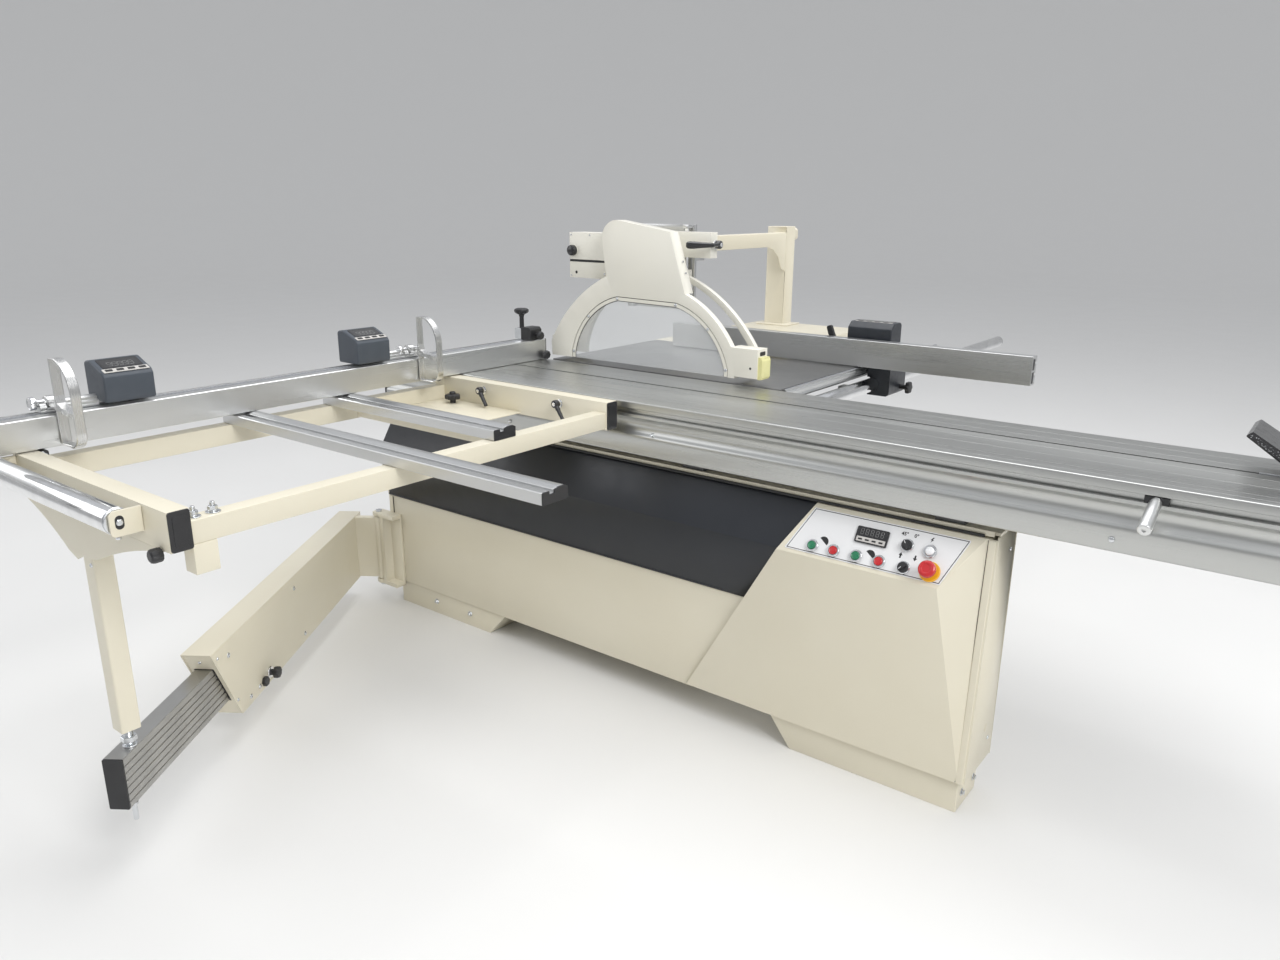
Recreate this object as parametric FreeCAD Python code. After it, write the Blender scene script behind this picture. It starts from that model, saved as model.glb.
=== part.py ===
"""Sliding-table panel saw, in millimetres, +Z up.

X runs along the sliding table (+X is the operator's end), Y runs across it
(-Y is the outrigger side, +Y the rip-fence side) and Z = 0 is the floor.
"""
import FreeCAD
import Part
import math
import os

V = FreeCAD.Vector
X, Y, Z = V(1, 0, 0), V(0, 1, 0), V(0, 0, 1)

# Driving dimensions
TABLE_Z = 875.0            # working height
BLADE_Y = 34.0             # plane of the main blade
BLADE_X = -717.0           # middle of the main blade
BLADE_R = 157.5            # main blade radius
CUT_HEIGHT = -7.0          # blade top above the table at rest: lowered out of sight
KERF = 3.2                 # blade plate thickness
SCORE_R = 60.0             # scoring blade radius
SCORE_TOP = 870.0          # top of the scoring blade
MOTOR = (-717.0, 545.0)    # X and Z of the motor's shaft

CAB_X = (-1518.0, 572.0)   # long front box under the sliding table
CAB_Y = (-366.0, -190.0)
BODY_X = (-1110.0, -190.0)     # deeper saw body behind it
BODY_BACK = 274.0
CAB_Z = (82.0, 700.0)      # cabinet height above the floor
SHEET = 4.0                # cabinet sheet thickness

SLIDE_X = (-1492.0, 1700.0)    # sliding table, end plates excluded
SLIDE_Y = (-366.0, 24.0)
SLIDE_BOTTOM = 725.0

OUT_X = (-1175.0, -473.0)      # outrigger frame
OUT_Y = (-1628.0, -376.0)
BEAM_Z = (796.0, 873.0)        # side beams of the outrigger
BAR_TOP = 875.0                # support bars and roller

FENCE_X = (-1180.0, -1105.0)   # crosscut fence section
FENCE_Y = (-1880.0, 18.0)
FENCE_Z = (876.0, 945.0)
FENCE_PIVOT = (-1142.0, -398.0)    # mitre pivot pin
STOP_Y = (-1530.0, -529.0)     # flip stops along the fence
ROLLER = (-1669.0, 848.0)      # roller axis in Y and Z

RIP_BAR = (-155.0, 815.0, 22.5)    # X, Z and radius of the rip fence's round bar
RIP_FENCE_Y = 539.0                # working face of the rip fence

GUARD_Y = (25.0, 149.0)        # near and far faces of the overhead guard
GUARD_BOTTOM = 893.0
NECK_BACK = 70.0               # depth of the guard's neck and of its nose
NOSE_BACK = 81.0

ARM_PIVOT = (-1550.0, -392.0)  # swing arm hinge
ARM_FOOT = (-832.0, -1621.0)   # support leg standing on the arm's beam
ARM_OFFSET = 122.5             # the arm passes this far outside its hinge

CREASE = (-396.0, 570.0)       # Y, Z of the crease along the front covers
COVER_TOP = (-321.0, 685.0)
PANEL_FOOT = (-366.0, 87.0)


def box(x, y, z):
    """Box between pairs of limits."""
    solid = Part.makeBox(x[1] - x[0], y[1] - y[0], z[1] - z[0])
    solid.translate(V(x[0], y[0], z[0]))
    return solid


def face(points):
    """Flat face from a closed list of points."""
    return Part.Face(Part.makePolygon(points + [points[0]]))


def prism_x(yz, x0, x1):
    """Outline in Y and Z, extruded along X."""
    return face([V(x0, y, z) for y, z in yz]).extrude(V(x1 - x0, 0, 0))


def prism_y(xz, y0, y1):
    """Outline in X and Z, extruded along Y."""
    return face([V(x, y0, z) for x, z in xz]).extrude(V(0, y1 - y0, 0))


def prism_z(xy, z0, z1):
    """Outline in X and Y, extruded along Z."""
    return face([V(x, y, z0) for x, y in xy]).extrude(V(0, 0, z1 - z0))


def rod(start, axis, radius, length):
    """Cylinder from a start point along an axis."""
    return Part.makeCylinder(radius, length, V(*start), axis)


def ring(start, axis, outer, inner, length):
    """Tube or washer."""
    return rod(start, axis, outer, length).cut(rod(start, axis, inner, length))


def tube_x(x, y, z, wall):
    """Rectangular tube along X, open at both ends."""
    inside = box(x, (y[0] + wall, y[1] - wall), (z[0] + wall, z[1] - wall))
    return box(x, y, z).cut(inside)


def tube_y(x, y, z, wall):
    """Rectangular tube along Y, open at both ends."""
    inside = box((x[0] + wall, x[1] - wall), y, (z[0] + wall, z[1] - wall))
    return box(x, y, z).cut(inside)


def tube_z(x, y, z, wall):
    """Rectangular tube along Z, open at both ends."""
    inside = box((x[0] + wall, x[1] - wall), (y[0] + wall, y[1] - wall), z)
    return box(x, y, z).cut(inside)


def fuse(*shapes):
    """One solid from several."""
    return shapes[0].multiFuse(list(shapes[1:])).removeSplitter()


def group(*shapes):
    """Several separate solids in one node."""
    return Part.makeCompound(list(shapes))


def wire_face(edges):
    return Part.Face(Part.Wire(edges))


def save(name, shape):
    shape.exportStep("parts/" + name + ".step")


# Base ---------------------------------------------------------------------

def plinths():
    """Two folded-steel plinths under the front box, slanting underneath, and one under the saw body."""
    def plinth(outer_x, inner_bottom, inner_top, y):
        outline = [(outer_x, 0), (inner_bottom, 0), (inner_top, CAB_Z[0]), (outer_x, CAB_Z[0])]
        low, high = sorted((outer_x, inner_bottom))
        return prism_y(outline, *y).cut(box((low + 8, high - 8), (y[0] + 8, y[1] - 8), (8, CAB_Z[0])))
    return group(plinth(-1488, -1035, -960, (-360, -225)), plinth(554, 103, 40, (-360, -225)),
                 plinth(-1080, -220, -220, (60, 240)))


def cabinet_shell():
    """Floors, ends, backs and slotted deck of the front box and the saw body, as separate panels."""
    x0, x1 = CAB_X
    y0, y1 = CAB_Y
    z0, z1 = CAB_Z
    b0, b1 = BODY_X
    t = SHEET
    left = prism_x([(y0 + 6, z0 + t), (y1 - t, z0 + t), (y1 - t, z1 - 8), (-305, z1 - 8), (-386, 571),
                    (y0 + 6, 396)], x0, x0 + t)
    right = prism_x([(-368.2, 90), (y1 - t, 90), (y1 - t, z1 - 8), (-323.1, z1 - 8)], x1 - t, x1)
    floor = fuse(box((x0, x1 - t), (y0 + t, y1), (z0, z0 + t)), box((b0, b1), (y1, BODY_BACK), (z0, z0 + t)))
    backs = [box((x0, b0), (y1 - t, y1), (z0 + t, z1 - 8)), box((b1, x1), (y1 - t, y1), (z0 + t, z1 - 8))]
    sides = [box((x, x + t), (y1, BODY_BACK - t), (z0 + t, z1 - 8)) for x in (b0, b1 - t)]
    back = box((b0, b1), (BODY_BACK - t, BODY_BACK), (z0 + t, z1 - 8))
    back = back.cut(rod((-900, BODY_BACK - 10, 300), Y, 57.5, 20))
    deck = fuse(box((x0, x1), (-316, y1), (z1 - 8, z1)), box((b0, b1), (y1, BODY_BACK), (z1 - 8, z1)))
    deck = deck.cut(box((-1028, -328), (-215, 262), (z1 - 20, z1 + 20)))
    return group(floor, left, right, *backs, *sides, back, deck)


def diagonal(solid, offset, keep_right):
    """Cuts a front cover along the control box's slanting left edge."""
    foot = V(-225 + offset, 0, 85)
    head = V(127 + offset, 0, 685)
    slope = (head - foot).normalize()
    side = V(-slope.z, 0, slope.x) if keep_right else V(slope.z, 0, -slope.x)
    a, b = foot - slope * 900, head + slope * 900
    cutter = [a, b, b + side * 3000, a + side * 3000]
    cutter = [V(p.x, -900, p.z) for p in cutter]
    return solid.cut(face(cutter).extrude(V(0, 1400, 0)))


def front_panel():
    """Lower front panel, plain."""
    y0 = CAB_Y[0]
    skin = box((CAB_X[0], 100), (y0, y0 + SHEET), (CAB_Z[0], 398))
    lip = box((CAB_X[0] + 6, 100), (y0 + SHEET, y0 + 18), (398 - SHEET, 398))
    return diagonal(fuse(skin, lip), 18, False)


def upper_cover():
    """Black creased cover between the front panel and the sliding table."""
    cy, cz = CREASE
    ty, tz = COVER_TOP
    t = 3.0
    outline = [(-369, 400), (cy + 4, cz), (ty + 2, tz), (ty + 2 + t, tz),
               (cy + 4 + t, cz), (-369 + t, 400)]
    return diagonal(prism_x(outline, CAB_X[0], 200), 18, False)


def control_body(inset):
    """Control housing outline: creased front, slanting left edge, facetted right corner."""
    cy, cz = CREASE
    ty, tz = COVER_TOP
    fy, fz = PANEL_FOOT
    lift = 6.0 - inset
    outline = [(fy - lift, fz + inset), (cy - lift, cz), (ty - lift, tz - inset), (-250, tz - inset),
               (-250, fz + inset)]
    solid = diagonal(prism_x(outline, -400, 556 - inset), inset, True)
    top = V(546 - inset, ty - 6, tz)
    crease = V(470 - inset, cy - 6, cz)
    foot = V(556 - inset, fy - 6, fz)
    normal = (crease - top).cross(foot - top).normalize()
    if normal.x < 0:
        normal = normal * -1
    spread = (foot - top).normalize()
    across = normal.cross(spread)
    base = top - spread * 900 - across * 900
    corners = [base, base + spread * 2400, base + spread * 2400 + across * 1800, base + across * 1800]
    return solid.cut(face(corners).extrude(normal * 600))


def control_box():
    """Sheet housing of the controls, open at the back, with holes for the buttons."""
    covers = [(-366.1, 80), (-369.2, 400), (-392.2, 570), (-318.9, 686), (0, 686), (0, 80)]
    shell = control_body(0.0).cut(control_body(3.0)).cut(prism_x(covers, -500, 150))
    shell = shell.cut(box((-400, 600), (-264, -240), (80, 700)))
    flange = prism_x([(-372, 87), (-369, 87), (-324, 685), (-327, 685)], 546, CAB_X[1])
    shell = fuse(shell, flange)
    for u, v, radius in CONTROL_HOLES:
        shell = shell.cut(rod(on_panel(u, v, -20), panel_normal(), radius, 40))
    return shell


def panel_normal():
    """Outward normal of the inclined control face."""
    rise = V(0, COVER_TOP[0] - CREASE[0], COVER_TOP[1] - CREASE[1]).normalize()
    return V(0, -rise.z, rise.y)


def on_panel(u, v, height):
    """Point on the control face: u is X, v the distance up from the crease."""
    rise = V(0, COVER_TOP[0] - CREASE[0], COVER_TOP[1] - CREASE[1]).normalize()
    point = V(u, CREASE[0], CREASE[1]) + rise * v + panel_normal() * (6.0 * 0.838 + height)
    return (point.x, point.y, point.z)


def panel_box(u, v, height):
    """Block standing on the control face."""
    rise = V(0, COVER_TOP[0] - CREASE[0], COVER_TOP[1] - CREASE[1]).normalize()
    start = V(*on_panel(u[0], v[0], height[0]))
    outline = [start, start + X * (u[1] - u[0]), start + X * (u[1] - u[0]) + rise * (v[1] - v[0]),
               start + rise * (v[1] - v[0])]
    return face(outline).extrude(panel_normal() * (height[1] - height[0]))


BUTTONS = {"main_start_button": (152, 26), "main_stop_button": (209, 25.5),
           "scoring_start_button": (267, 25.5), "scoring_stop_button": (325, 25.5)}
SELECTORS = {"tilt_selector": (379, 78), "rise_selector": (385, 25)}
LAMP = (434, 76)
E_STOP = (446, 30)
METER = ((251, 331), (60, 100))
CONTROL_HOLES = [(u, v, 11.2) for u, v in list(BUTTONS.values()) + list(SELECTORS.values())]
CONTROL_HOLES += [(LAMP[0], LAMP[1], 11.2), (E_STOP[0], E_STOP[1], 11.2)]


def control_plate():
    """Thin face plate with the same slanting ends as the housing."""
    rise = V(0, COVER_TOP[0] - CREASE[0], COVER_TOP[1] - CREASE[1]).normalize()
    corners = [(80, 6), (474, 6), (516, 122), (128, 122)]
    outline = [V(*on_panel(u, v, 0.02)) for u, v in corners]
    plate = face(outline).extrude(panel_normal() * 1.5)
    for u, v, radius in CONTROL_HOLES:
        plate = plate.cut(rod(on_panel(u, v, -5), panel_normal(), radius, 20))
    return plate


def control_bezels():
    """Button rings, selector rings, pilot lamp, stop-button collar and digital meter."""
    n = panel_normal()
    rings = [ring(on_panel(u, v, 1.6), n, 14.5, 10.8, 5) for u, v in
             list(BUTTONS.values()) + list(SELECTORS.values())]
    lamp = fuse(rod(on_panel(LAMP[0], LAMP[1], 1.6), n, 14.5, 4),
                rod(on_panel(LAMP[0], LAMP[1], 5), n, 11, 5))
    collar = ring(on_panel(E_STOP[0], E_STOP[1], 1.6), n, 24, 10.8, 6)
    meter = panel_box(METER[0], METER[1], (1.6, 6))
    return rings + [lamp, collar, meter]


def push_button(u, v):
    """Button cap with its stem."""
    n = panel_normal()
    return fuse(rod(on_panel(u, v, -12), n, 6, 14), rod(on_panel(u, v, 0.5), n, 10.4, 8.5))


def selector(u, v):
    """Two-way selector knob with a grip bar."""
    n = panel_normal()
    grip = panel_box((u - 4, u + 4), (v - 11.5, v + 11.5), (6.9, 19))
    return fuse(rod(on_panel(u, v, -12), n, 6, 20), rod(on_panel(u, v, 6.9), n, 12.5, 6), grip)


def e_stop_button():
    """Mushroom stop button."""
    n = panel_normal()
    head = rod(on_panel(E_STOP[0], E_STOP[1], 22), n, 20, 14)
    head = head.makeFillet(4, [max(head.Edges, key=lambda e: e.CenterOfMass.dot(n))])
    return fuse(rod(on_panel(E_STOP[0], E_STOP[1], -12), n, 8, 36), head)


# Slideway -----------------------------------------------------------------

def slide_beam():
    """Fixed saddle beam with two round steel ways."""
    beam = tube_x((-1480, 540), (-320, -175), (722, 800), 10)
    beam = fuse(beam, box((-1480, 540), (-254, -241), (730, 792)))
    ways = [rod((-1470, y, 806), X, 8, 2000) for y in (-300, -195)]
    for way in ways:
        beam = beam.cut(way)
    return group(beam, *ways)


def table_supports():
    """Cast feet under the saddle beam, and the brackets carrying the cast-iron table."""
    feet = [box((x, x + 70), (-316, -220), (CAB_Z[1], 722)) for x in (-1440, -1090, -290, 420)]
    walls = [box((x, x + 20), (185, 268), (CAB_Z[1], 835)) for x in (-1080, -250)]
    return group(*feet, *walls)


def roller_cage():
    """Half-speed cage with rollers that run on the round ways."""
    plate = box((-820, 380), (-318, -177), (824, 828))
    rollers = []
    for x in range(-780, 341, 224):
        for y in (-300, -195):
            plate = plate.cut(box((x - 13, x + 13), (y - 12, y + 12), (820, 832)))
            rollers.append(rod((x, y - 10, 826), Y, 11.4, 20))
    return group(plate, *rollers)


def slide_table():
    """Aluminium sliding table: inverted channel, side T-groove, top slot, end plates."""
    y0, y1 = SLIDE_Y
    top = TABLE_Z
    wall = 14
    outline = [
        (y0, top), (y0, 855), (y0 + 6, 855), (y0 + 6, 857), (y0 + 14, 857), (y0 + 14, 837), (y0 + 6, 837),
        (y0 + 6, 839), (y0, 839), (y0, 832), (y0 + 9, 824), (y0 + 12, 806), (y0 + 6, 788), (y0, 780),
        (y0 + 2, 750), (y0 + 4, SLIDE_BOTTOM), (y0 + 16, SLIDE_BOTTOM), (y0 + 16 + wall - 5, 790),
        (y0 + 16 + wall - 5, 838), (-140, 838), (-140, 735), (-128, 735), (-128, 853), (-112, 853),
        (-112, 867), (18, 867), (y1, 872), (y1, top)]
    body = prism_x(outline, *SLIDE_X)
    for low, high in ((-330, -280), (-272, -222), (-214, -164)):
        body = body.cut(box(SLIDE_X, (low, high), (845, 868)))
    body = body.cut(box(SLIDE_X, (-134, -124), (863, top)))
    body = body.cut(box(SLIDE_X, (-309, -307), (873, top)))
    edge = [(y0, top), (y0, SLIDE_BOTTOM), (y0 + 16, SLIDE_BOTTOM), (y0 + 25, 838), (-112, 838),
            (-112, 867), (18, 867), (y1, 872), (y1, top)]
    ends = [prism_x(edge, SLIDE_X[0] - 8, SLIDE_X[0]), prism_x(edge, SLIDE_X[1], SLIDE_X[1] + 8)]
    return group(body, *ends)


def push_handle():
    """Round push handle standing out of the side groove."""
    return rod((868, -365.5, 846), V(0, -1, -0.35), 13, 105).cut(
        box((800, 940), (-366, -330), (800, 900)))


def edging_shoe():
    """Clamping shoe lying in the table's slot near the operator's end."""
    wedge = prism_y([(975, 951), (990, 962), (1105, 890), (1105, 876), (1085, 876)], -150, 0)
    foot = box((1010, 1100), (-132.5, -125.5), (866, 890))
    return fuse(wedge, foot)


# Outrigger ----------------------------------------------------------------

def outrigger_frame():
    """Welded frame of the crosscut support, with a small tray and the roller's brackets."""
    x0, x1 = OUT_X
    y0, y1 = OUT_Y
    side = 42
    rails = [tube_x((x0 + side, x1), (y, y + side), BEAM_Z, 3) for y in (y0, y1 - side)]
    front = tube_y((x1 - 44, x1 - 4), (y0 + side, y1 - side), (800, 845), 3)
    rear = tube_y((x0, x0 + side), (y0, y1), (796, 845), 3)
    middle = tube_x((x0 + side, x1 - 44), (-746, -706), (800, 842), 3)
    tray = box((x0 + side, -800), (-706, y1 - side), (800, 804))
    stub = tube_z((-513, -475), (-1586, -1540), (742, 800), 3)
    hooks = [box((x - 30, x + 30), (y1, SLIDE_Y[0] + 5), (841, 853)) for x in (-1040, -560)]
    pivot = box((x0 + 1, x0 + side), (y1 - 41, y1 - 1), (845, 872.8))
    pivot = pivot.cut(rod((*FENCE_PIVOT, 830), Z, 8.06, 60))
    ears = []
    for x in (-566, -1122):
        ear = prism_x([(y0, 870), (y0, 822), (y0 - 50, 822), (y0 - 58, 830), (y0 - 58, 862), (y0 - 50, 870)],
                      x, x + 4)
        ears.append(ear.cut(rod((x - 1, *ROLLER), X, 6.2, 6)))
    return group(*rails, front, rear, middle, pivot, tray, stub, *hooks, *ears)


def end_caps():
    """Plastic caps of the outrigger's rails and of the support bars."""
    x1 = OUT_X[1]
    caps = [box((x1, x1 + 4), (y, y + 42), BEAM_Z) for y in (OUT_Y[0], OUT_Y[1] - 42)]
    for y, x in SUPPORT_BARS:
        caps.append(box((x, x + 4), (y, y + 71), (846, BAR_TOP)))
    caps.append(rod((-505, -1630, 790), V(0, -1, 0), 14, 22))
    return group(*caps)


SUPPORT_BARS = ((-1130, -44), (-832, -482))


def support_bars():
    """Grooved aluminium bars that carry the sheet."""
    bars = []
    for y, x in SUPPORT_BARS:
        outline = [(y, 846), (y, 871), (y + 4, 872), (y + 18, 872), (y + 18, 866), (y + 34, 866), (y + 34, 872),
                   (y + 44, BAR_TOP), (y + 60, BAR_TOP), (y + 71, 870), (y + 71, 846)]
        bar = prism_x(outline, OUT_X[0] + 6, x)
        bars.append(bar.cut(box((OUT_X[0], x + 1), (y + 5, y + 66), (850, 862))))
    return group(*bars)


def support_roller():
    """Chrome roller that a sheet is pulled over, with its axle pins."""
    body = rod((-1112, *ROLLER), X, 26, 540)
    pins = rod((-1124, *ROLLER), X, 6.15, 564)
    return fuse(body, pins)


def support_leg():
    """Gusset and leg below the outer rail."""
    y0 = OUT_Y[0]
    gusset = prism_y([(-1160, 795.9), (-500, 795.9), (-700, 735), (-800, 705), (-870, 700), (-880, 690)],
                     y0, y0 + 4)
    leg = tube_z((ARM_FOOT[0] - 25, ARM_FOOT[0] + 20), (y0, y0 + 42), (310, 795.9), 3)
    foot = box((ARM_FOOT[0] - 25, ARM_FOOT[0] + 20), (y0, y0 + 42), (306, 310))
    return fuse(gusset, leg, foot)


def leg_foot():
    """Screw foot with its lock nut, ending just above the arm's beam."""
    x, y = ARM_FOOT[0] - 2.5, OUT_Y[0] + 21
    nut = prism_z([(x + 17 * math.cos(a * math.pi / 3), y + 17 * math.sin(a * math.pi / 3))
                   for a in range(6)], 275, 287)
    return fuse(rod((x, y, ARM_BEAM_Z[1] + 0.5), Z, 10, 305.9 - ARM_BEAM_Z[1] - 0.5), nut)


def clamp_lever(x):
    """Clamping lever on the inside of the rail, its handle hanging towards the operator."""
    y = OUT_Y[1] - 42
    hub = rod((x, y - 0.5, 850), V(0, -1, 0), 11, 24)
    handle = prism_y([(x - 5.7, 844.3), (x + 34, 808), (x + 42, 816), (x + 5.7, 855.7)], y - 24, y - 10)
    return fuse(hub, handle)


# Crosscut fence -----------------------------------------------------------

def crosscut_fence():
    """Hollow fence with a rear groove in its top, its end plate and its mitre pivot pin."""
    body = tube_y(FENCE_X, FENCE_Y, FENCE_Z, 3)
    body = body.cut(box((-1172, -1164), FENCE_Y, (941, 946)))
    plate = box((FENCE_X[0], FENCE_X[1] + 1), (FENCE_Y[1], FENCE_Y[1] + 4), FENCE_Z)
    pin = rod((*FENCE_PIVOT, 850), Z, 8, 26)
    return group(body, plate, pin)


def fence_extension():
    """Telescopic inner section with its end cap."""
    x0, x1 = FENCE_X
    inner = tube_y((x0 + 5, x1 - 5), (FENCE_Y[0], -700), (FENCE_Z[0] + 5, FENCE_Z[1] - 10), 3)
    cap = box((x0, x1), (FENCE_Y[0] - 20, FENCE_Y[0] - 0.5), FENCE_Z)
    neck = box((x0 + 8, x1 - 8), (FENCE_Y[0] - 1, FENCE_Y[0] + 4), (FENCE_Z[0] + 8, FENCE_Z[1] - 13))
    return fuse(inner, neck, cap)


def fence_index():
    """Clamping block with its tall knob near the blade end of the fence."""
    x0 = FENCE_X[0]
    block = box((x0 - 8, x0 + 28), (-46, -8), (945.3, 982))
    pad = box((x0 + 28, x0 + 74), (-54, 0), (945.3, 988))
    stem = rod((x0 + 8, -27, 982), Z, 9, 52)
    disc = rod((x0 + 8, -27, 1030), Z, 25, 18)
    return fuse(block, pad, stem, disc)


def stop_slide(y, y_box):
    """Stop carriage on the fence with its digital readout housing."""
    x0 = FENCE_X[0]
    low, high = sorted((y, y_box[0] if y_box[0] > y else y_box[1]))
    rail = box((x0 + 4, x0 + 40), (low, high), (945.3, 952))
    pivot = rod((x0 + 26, y - 26, 968), Y, 7, 52)
    bearing = box((x0 + 10, x0 + 42), (y - 26, y + 26), (945.3, 968)).cut(
        box((x0, x0 + 60), (y - 12.4, y + 12.4), (952, 990)))
    housing = prism_y([(x0 - 12, 952), (x0 + 80, 952), (x0 + 80, 1018), (x0 + 18, 1046), (x0 - 12, 1040)],
                      *y_box)
    knob = rod((x0 + 26, y - 44, 968), Y, 15, 18)
    return group(fuse(rail, bearing, pivot, knob), housing)


def flip_arm(y):
    """Flip-over stop: D-shaped loop above and in front of the fence."""
    front = FENCE_X[1] + 2
    w = 11.0

    def loop(inset):
        x0, x1 = front + inset, front + 88 - inset
        z0, z1 = 879 + inset, 1072 - inset
        a, b, c = V(x0, 0, z1), V(x0 + 30, 0, z1), V(x1, 0, z1 - 84)
        d, e, f = V(x1, 0, z0 + 40), V(x1 - 40, 0, z0), V(x0, 0, z0)
        top = Part.Arc(b, V(x1 - 15, 0, z1 - 27), c).toShape()
        low = Part.Arc(d, V(x1 - 10, 0, z0 + 10), e).toShape()
        edges = [Part.makeLine(a, b), top, Part.makeLine(c, d), low, Part.makeLine(e, f), Part.makeLine(f, a)]
        solid = wire_face(edges).extrude(V(0, 2 * w, 0))
        solid.translate(V(0, y - w, 0))
        return solid

    ring_part = loop(0).cut(loop(6))
    bridge = box((FENCE_X[0] + 17, front + 84), (y - w, y + w), (958, 970))
    eye = rod((FENCE_X[0] + 26, y - w, 968), Y, 14, 2 * w)
    eye = eye.cut(rod((FENCE_X[0] + 26, y - w - 1, 968), Y, 7.05, 2 * w + 2))
    bridge = bridge.cut(rod((FENCE_X[0] + 26, y - w - 1, 968), Y, 7.05, 2 * w + 2))
    return fuse(ring_part, bridge, eye)


# Swing arm ----------------------------------------------------------------

def arm_frame():
    """Unit vectors of the swing arm at rest and the start of its centre line."""
    dx, dy = ARM_FOOT[0] - ARM_PIVOT[0], ARM_FOOT[1] - ARM_PIVOT[1]
    reach = math.hypot(dx, dy)
    turn = math.asin(ARM_OFFSET / reach)
    heading = math.atan2(dy, dx) + turn
    along = V(math.cos(heading), math.sin(heading), 0)
    across = V(along.y, -along.x, 0)
    start = V(ARM_PIVOT[0], ARM_PIVOT[1], 0) + across * ARM_OFFSET
    return start, along, across, reach * math.cos(turn)


def arm_block(s, w, z):
    """Block in the swing arm's own directions: s along it, w across it."""
    start, along, across, reach = arm_frame()
    corners = [start + along * a + across * b for a, b in ((s[0], w[0]), (s[1], w[0]), (s[1], w[1]), (s[0], w[1]))]
    return prism_z([(p.x, p.y) for p in corners], *z)


ARM_Z = (85.0, 318.0)
ARM_BEAM_Z = (143.0, 263.0)
ARM_END = (965.0, 1092.0)  # lower and upper corners of the arm's slanting end


def arm_bracket():
    """Hinge lugs and pin on the cabinet's front corner."""
    x, y = ARM_PIVOT
    lugs = []
    for z in ((68, 82), (321, 335)):
        lug = fuse(box((x - 16, CAB_X[0] + 60), (y - 16, CAB_Y[0] - 0.2), z), rod((x, y, z[0]), Z, 20, z[1] - z[0]))
        lugs.append(lug)
    plate = box((CAB_X[0] + 2, CAB_X[0] + 60), (CAB_Y[0] - 8, CAB_Y[0] - 0.2), (68, 335))
    pin = rod((x, y, 58), Z, 11, 283)
    web = box((x + 21, CAB_X[0] + 6), (y - 16, CAB_Y[0] - 4), (80, 323))
    return fuse(plate, *lugs, pin, web)


def swing_arm():
    """Box arm with its knuckle, open at the outer end for the beam."""
    start, along, across, reach = arm_frame()
    x, y = ARM_PIVOT
    outer = arm_block((-45, ARM_END[1]), (-38, 38), ARM_Z)
    inner = arm_block((-40, ARM_END[1] + 10), (-35, 35), (ARM_Z[0] + 3, ARM_Z[1] - 3))
    a, b = start + along * (ARM_END[1] + 1), start + along * (ARM_END[0] - 1)
    low = [V(a.x, a.y, ARM_Z[1]), V(a.x, a.y, ARM_Z[0] - 2), V(b.x, b.y, ARM_Z[0] - 2)]
    wedge = Part.Face(Part.makePolygon(low + [low[0]]))
    wedge.translate(across * -80)
    shell = outer.cut(inner).cut(wedge.extrude(across * 160))
    link = arm_block((-12, 12), (-ARM_OFFSET, -36), (ARM_Z[0] + 4, ARM_Z[1] - 4))
    barrel = rod((x, y, ARM_Z[0]), Z, 19, ARM_Z[1] - ARM_Z[0])
    bore = rod((x, y, ARM_Z[0] - 10), Z, 11.06, ARM_Z[1] - ARM_Z[0] + 20)
    return fuse(shell, link, barrel).cut(bore)


def arm_beam():
    """Ribbed aluminium beam with its end cap and stop pin."""
    start, along, across, reach = arm_frame()
    end = reach + 42
    body = arm_block((end - 1000, end), (-22, 22), ARM_BEAM_Z)
    body = body.cut(arm_block((end - 1010, end + 10), (-18, 18), (ARM_BEAM_Z[0] + 4, ARM_BEAM_Z[1] - 4)))
    body = fuse(body, arm_block((end - 1000, end), (-19, 19), (200, 205)))
    cap = arm_block((end, end + 6), (-22, 22), ARM_BEAM_Z)
    foot = start + along * (end - 30)
    pin = rod((foot.x, foot.y, ARM_BEAM_Z[0] - 26), Z, 5, 25.9)
    return group(body, cap, pin)


# Rip side -----------------------------------------------------------------

def cast_table():
    """Ribbed cast-iron table, thin at the blade edge."""
    x = (-1095, -195)
    plate = box(x, (43, 643), (863, TABLE_Z))
    skirt = box(x, (185, 643), (835, 864)).cut(box((x[0] + 16, x[1] - 16), (201, 627), (830, 864)))
    ribs = [box((xx, xx + 12), (195, 635), (838, 864)) for xx in (-800, -500)]
    ribs.append(box((x[0] + 10, x[1] - 10), (410, 422), (838, 864)))
    return fuse(plate, skirt, *ribs)


def extension_table():
    """Folded-sheet extension table behind the cast table, with a stiffening box below the post."""
    x, y = (-1100, -600), (643, 1470)
    top = box(x, y, (871, TABLE_Z))
    skirt = box(x, y, (835, 872)).cut(box((x[0] + 4, x[1] - 4), (y[0] + 4, y[1] - 4), (830, 872)))
    ribs = [tube_y((xx, xx + 40), (y[0] + 3, y[1] - 3), (838, 871.5), 3) for xx in (-1000, -760)]
    return fuse(top, skirt, *ribs)


def rip_scale_rail():
    """Scale rail and the blocks that hold the round bar to the table's edge."""
    rail = box((-194.8, -178), (60, 1250), (846, 872)).cut(box((-186, -170), (50, 1260), (866, 880)))
    blocks = []
    for y in (110, 420, 1180):
        block = box((-194.8, -170), (y, y + 40), (800, 830))
        blocks.append(block.cut(rod((RIP_BAR[0], y - 1, RIP_BAR[1]), Y, RIP_BAR[2], 42)))
    return group(rail, *blocks)


def rip_bar():
    """Round guide bar of the rip fence with its end plug."""
    bar = ring((RIP_BAR[0], 60, RIP_BAR[1]), Y, RIP_BAR[2], 16, 1834)
    plug = rod((RIP_BAR[0], 1894, RIP_BAR[1]), Y, RIP_BAR[2], 6)
    return group(bar, plug)


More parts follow.
